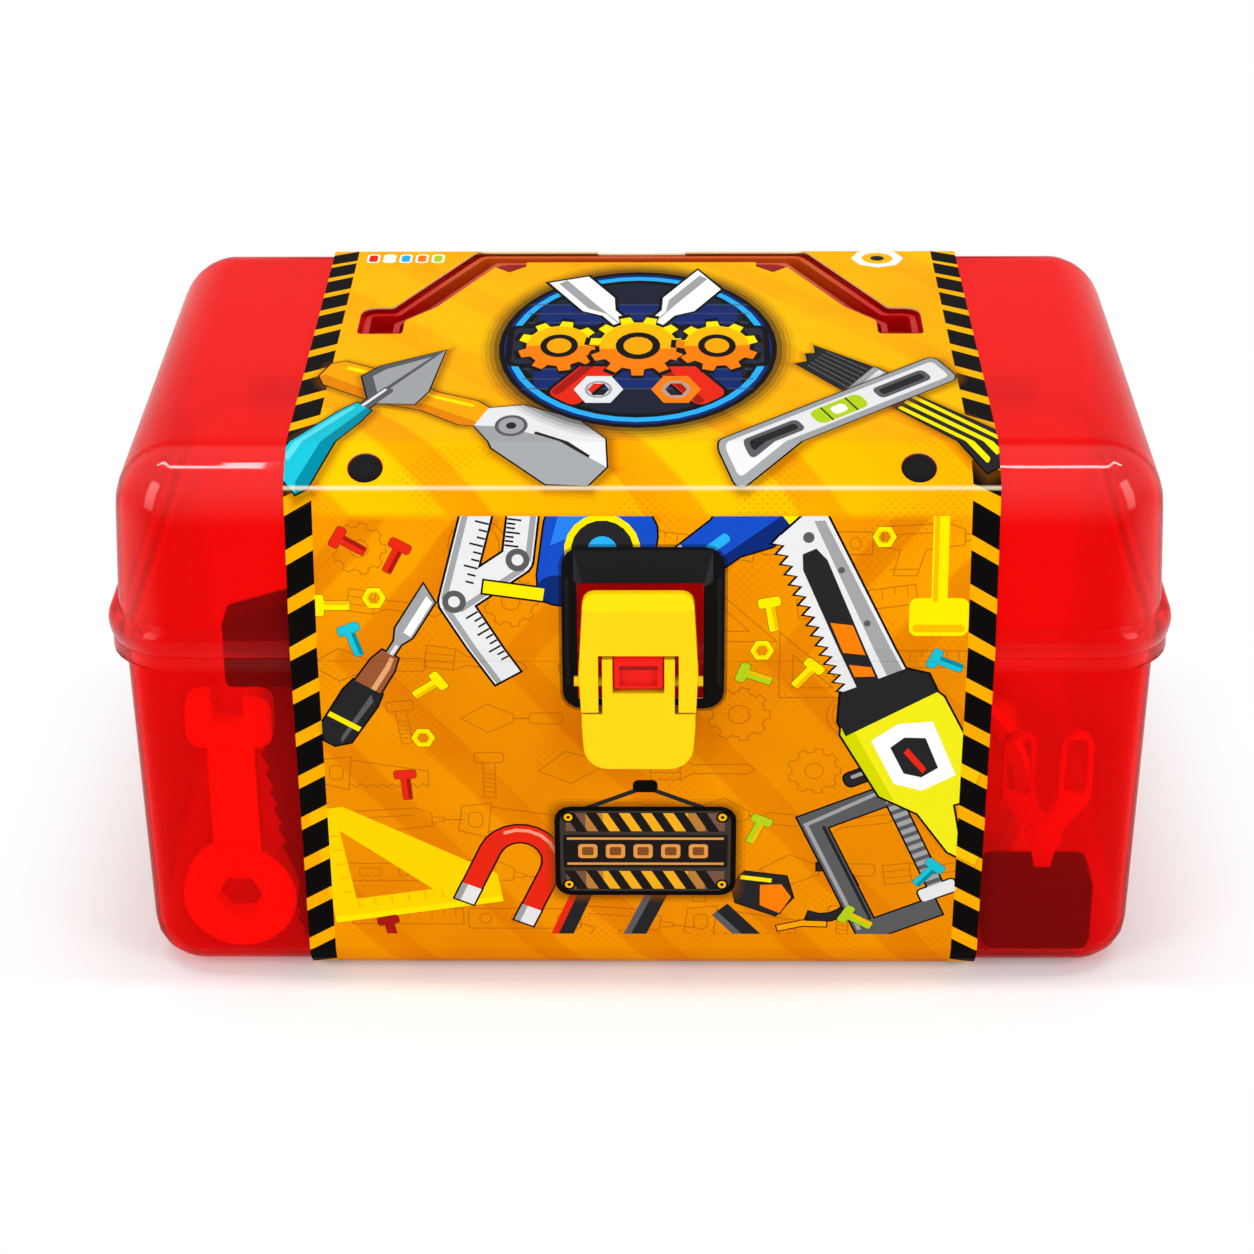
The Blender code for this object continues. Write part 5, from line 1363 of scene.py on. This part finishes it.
class SHELL_OT_shells(bpy.types.Operator):
    """Dress the tub and the lid in clear red plastic"""

    bl_idname = "toy_box.shells"
    bl_label = "Tub and lid"

    def execute(self, context):
        look = context.scene.toy_box_look
        low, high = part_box("lid_shell")
        front = high.y - HINGE_REACH
        corner = Vector((high.x - CORNER_ZONE, front - CORNER_ZONE))
        bend = Vector((front - BEND_ZONE, high.z - BEND_ZONE))
        colour = tuple(look.shell_colour)
        walls = {}
        for body in ("tub", "lid"):
            plastic = clear_red(f"clear_red_{body}", colour, look.shell_clearness, corner, bend, low.z)
            walls[body] = copy_of(f"{body}_shell", f"{body}_wall", plastic)
            finish_piece(walls[body], body, f"{body}_shell")
        walls["tub"].data.materials.append(moulded("lug_plastic", (0.80, 0.012, 0.008), 0.22))
        low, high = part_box("latch_bail")
        for face in walls["tub"].data.polygons:
            if abs(face.center.x - (low.x + high.x) / 2) < LUG_REACH and face.center.y < high.y:
                face.material_index = 1
        return {"FINISHED"}


class SHELL_OT_handle(bpy.types.Operator):
    """Dress the carry handle"""

    bl_idname = "toy_box.handle"
    bl_label = "Carry handle"

    def execute(self, context):
        look = context.scene.toy_box_look
        red = handle_plastic(tuple(look.handle_colour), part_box("carry_handle")[1].y)
        handle = copy_of("carry_handle", "handle_bail", red, 0.0005)
        finish_piece(handle, "handle", "carry_handle")
        return {"FINISHED"}


class SHELL_OT_latch(bpy.types.Operator):
    """Dress the bail, the lever and their pin"""

    bl_idname = "toy_box.latch"
    bl_label = "Latch"

    def execute(self, context):
        look = context.scene.toy_box_look
        for body, name in (("bail", "latch_cover"), ("lever", "latch_grip")):
            yellow = moulded(f"{body}_plastic", tuple(look.latch_colour), 0.24, 0.02, Coat_Weight=0.10)
            finish_piece(copy_of(f"latch_{body}", name, yellow, look.latch_edge, 3), body,
                         f"latch_{body}")
        wire = steel("pin_steel")
        peg = moulded("pin_plastic", (0.30, 0.010, 0.008), 0.4)
        for node in ("latch_pin", "hinge_pin_left", "hinge_pin_right"):
            NODES[node].data.materials.clear()
            NODES[node].data.materials.append(peg if node == "latch_pin" else wire)
            smoothed(NODES[node].data, 40)
        return {"FINISHED"}


class SHELL_OT_card(bpy.types.Operator):
    """Print and fold the card, and set its two plugs"""

    bl_idname = "toy_box.card"
    bl_label = "Printed card"

    def execute(self, context):
        sizes = context.scene.toy_box_card
        stock = [printed("card_print"), board("card_stock")]
        for body, part in (("lid", "upper"), ("tub", "lower")):
            piece = fold_card(f"sleeve_{part}", f"card_{part}", stock, sizes.thickness)
            finish_piece(piece, body, f"sleeve_{part}")
        black = moulded("plug_plastic", (0.004, 0.004, 0.0045), 0.5)
        for side in ("left", "right"):
            plug = copy_of(f"card_plug_{side}", f"plug_{side}", black)
            finish_piece(plug, "lid", f"card_plug_{side}")
        return {"FINISHED"}


class SHELL_OT_toys(bpy.types.Operator):
    """Dress the toy tools inside the box"""

    bl_idname = "toy_box.toys"
    bl_label = "Toy tools"

    def execute(self, context):
        made = {}
        for name, slot, colour, edge in TOYS:
            if slot not in made:
                # Painted glow: bright toys get a faint emission in their own colour, though they are no lamp.
                glow = {"Emission_Color": colour, "Emission_Strength": 0.16} if max(colour) > 0.5 else {}
                made[slot] = moulded(slot, colour, 0.38, **glow)
            names = (f"toy_{name}", f"dressed_toy_{name}", made[slot])
            piece = fluted_grip(*names) if edge is None else copy_of(*names, edge)
            finish_piece(piece, "tub", f"toy_{name}")
        return {"FINISHED"}


class SHELL_PT_panel(bpy.types.Panel):
    """The box's pieces in the sidebar"""

    bl_idname = "SHELL_PT_panel"
    bl_label = "Toy tool box"
    bl_space_type = "VIEW_3D"
    bl_region_type = "UI"
    bl_category = "Toy tool box"

    def draw(self, context):
        for operator in OPERATORS:
            self.layout.operator(operator.bl_idname)
        for group in (context.scene.toy_box_look, context.scene.toy_box_card):
            for name in group.bl_rna.properties.keys():
                if name not in ("rna_type", "name"):
                    self.layout.prop(group, name)


OPERATORS = (SHELL_OT_stage, SHELL_OT_shells, SHELL_OT_handle, SHELL_OT_latch, SHELL_OT_card, SHELL_OT_toys)
CLASSES = (SHELL_PG_look, SHELL_PG_card, *OPERATORS, SHELL_PT_panel)


def register():
    for item in CLASSES:
        bpy.utils.register_class(item)
    bpy.types.Scene.toy_box_look = bpy.props.PointerProperty(type=SHELL_PG_look)
    bpy.types.Scene.toy_box_card = bpy.props.PointerProperty(type=SHELL_PG_card)


def unregister():
    del bpy.types.Scene.toy_box_card
    del bpy.types.Scene.toy_box_look
    for item in reversed(CLASSES):
        bpy.utils.unregister_class(item)


def main():
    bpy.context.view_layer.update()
    register()
    bpy.ops.toy_box.stage()
    bpy.ops.toy_box.shells()
    bpy.ops.toy_box.handle()
    bpy.ops.toy_box.latch()
    bpy.ops.toy_box.card()
    bpy.ops.toy_box.toys()


if __name__ == "__main__":
    main()
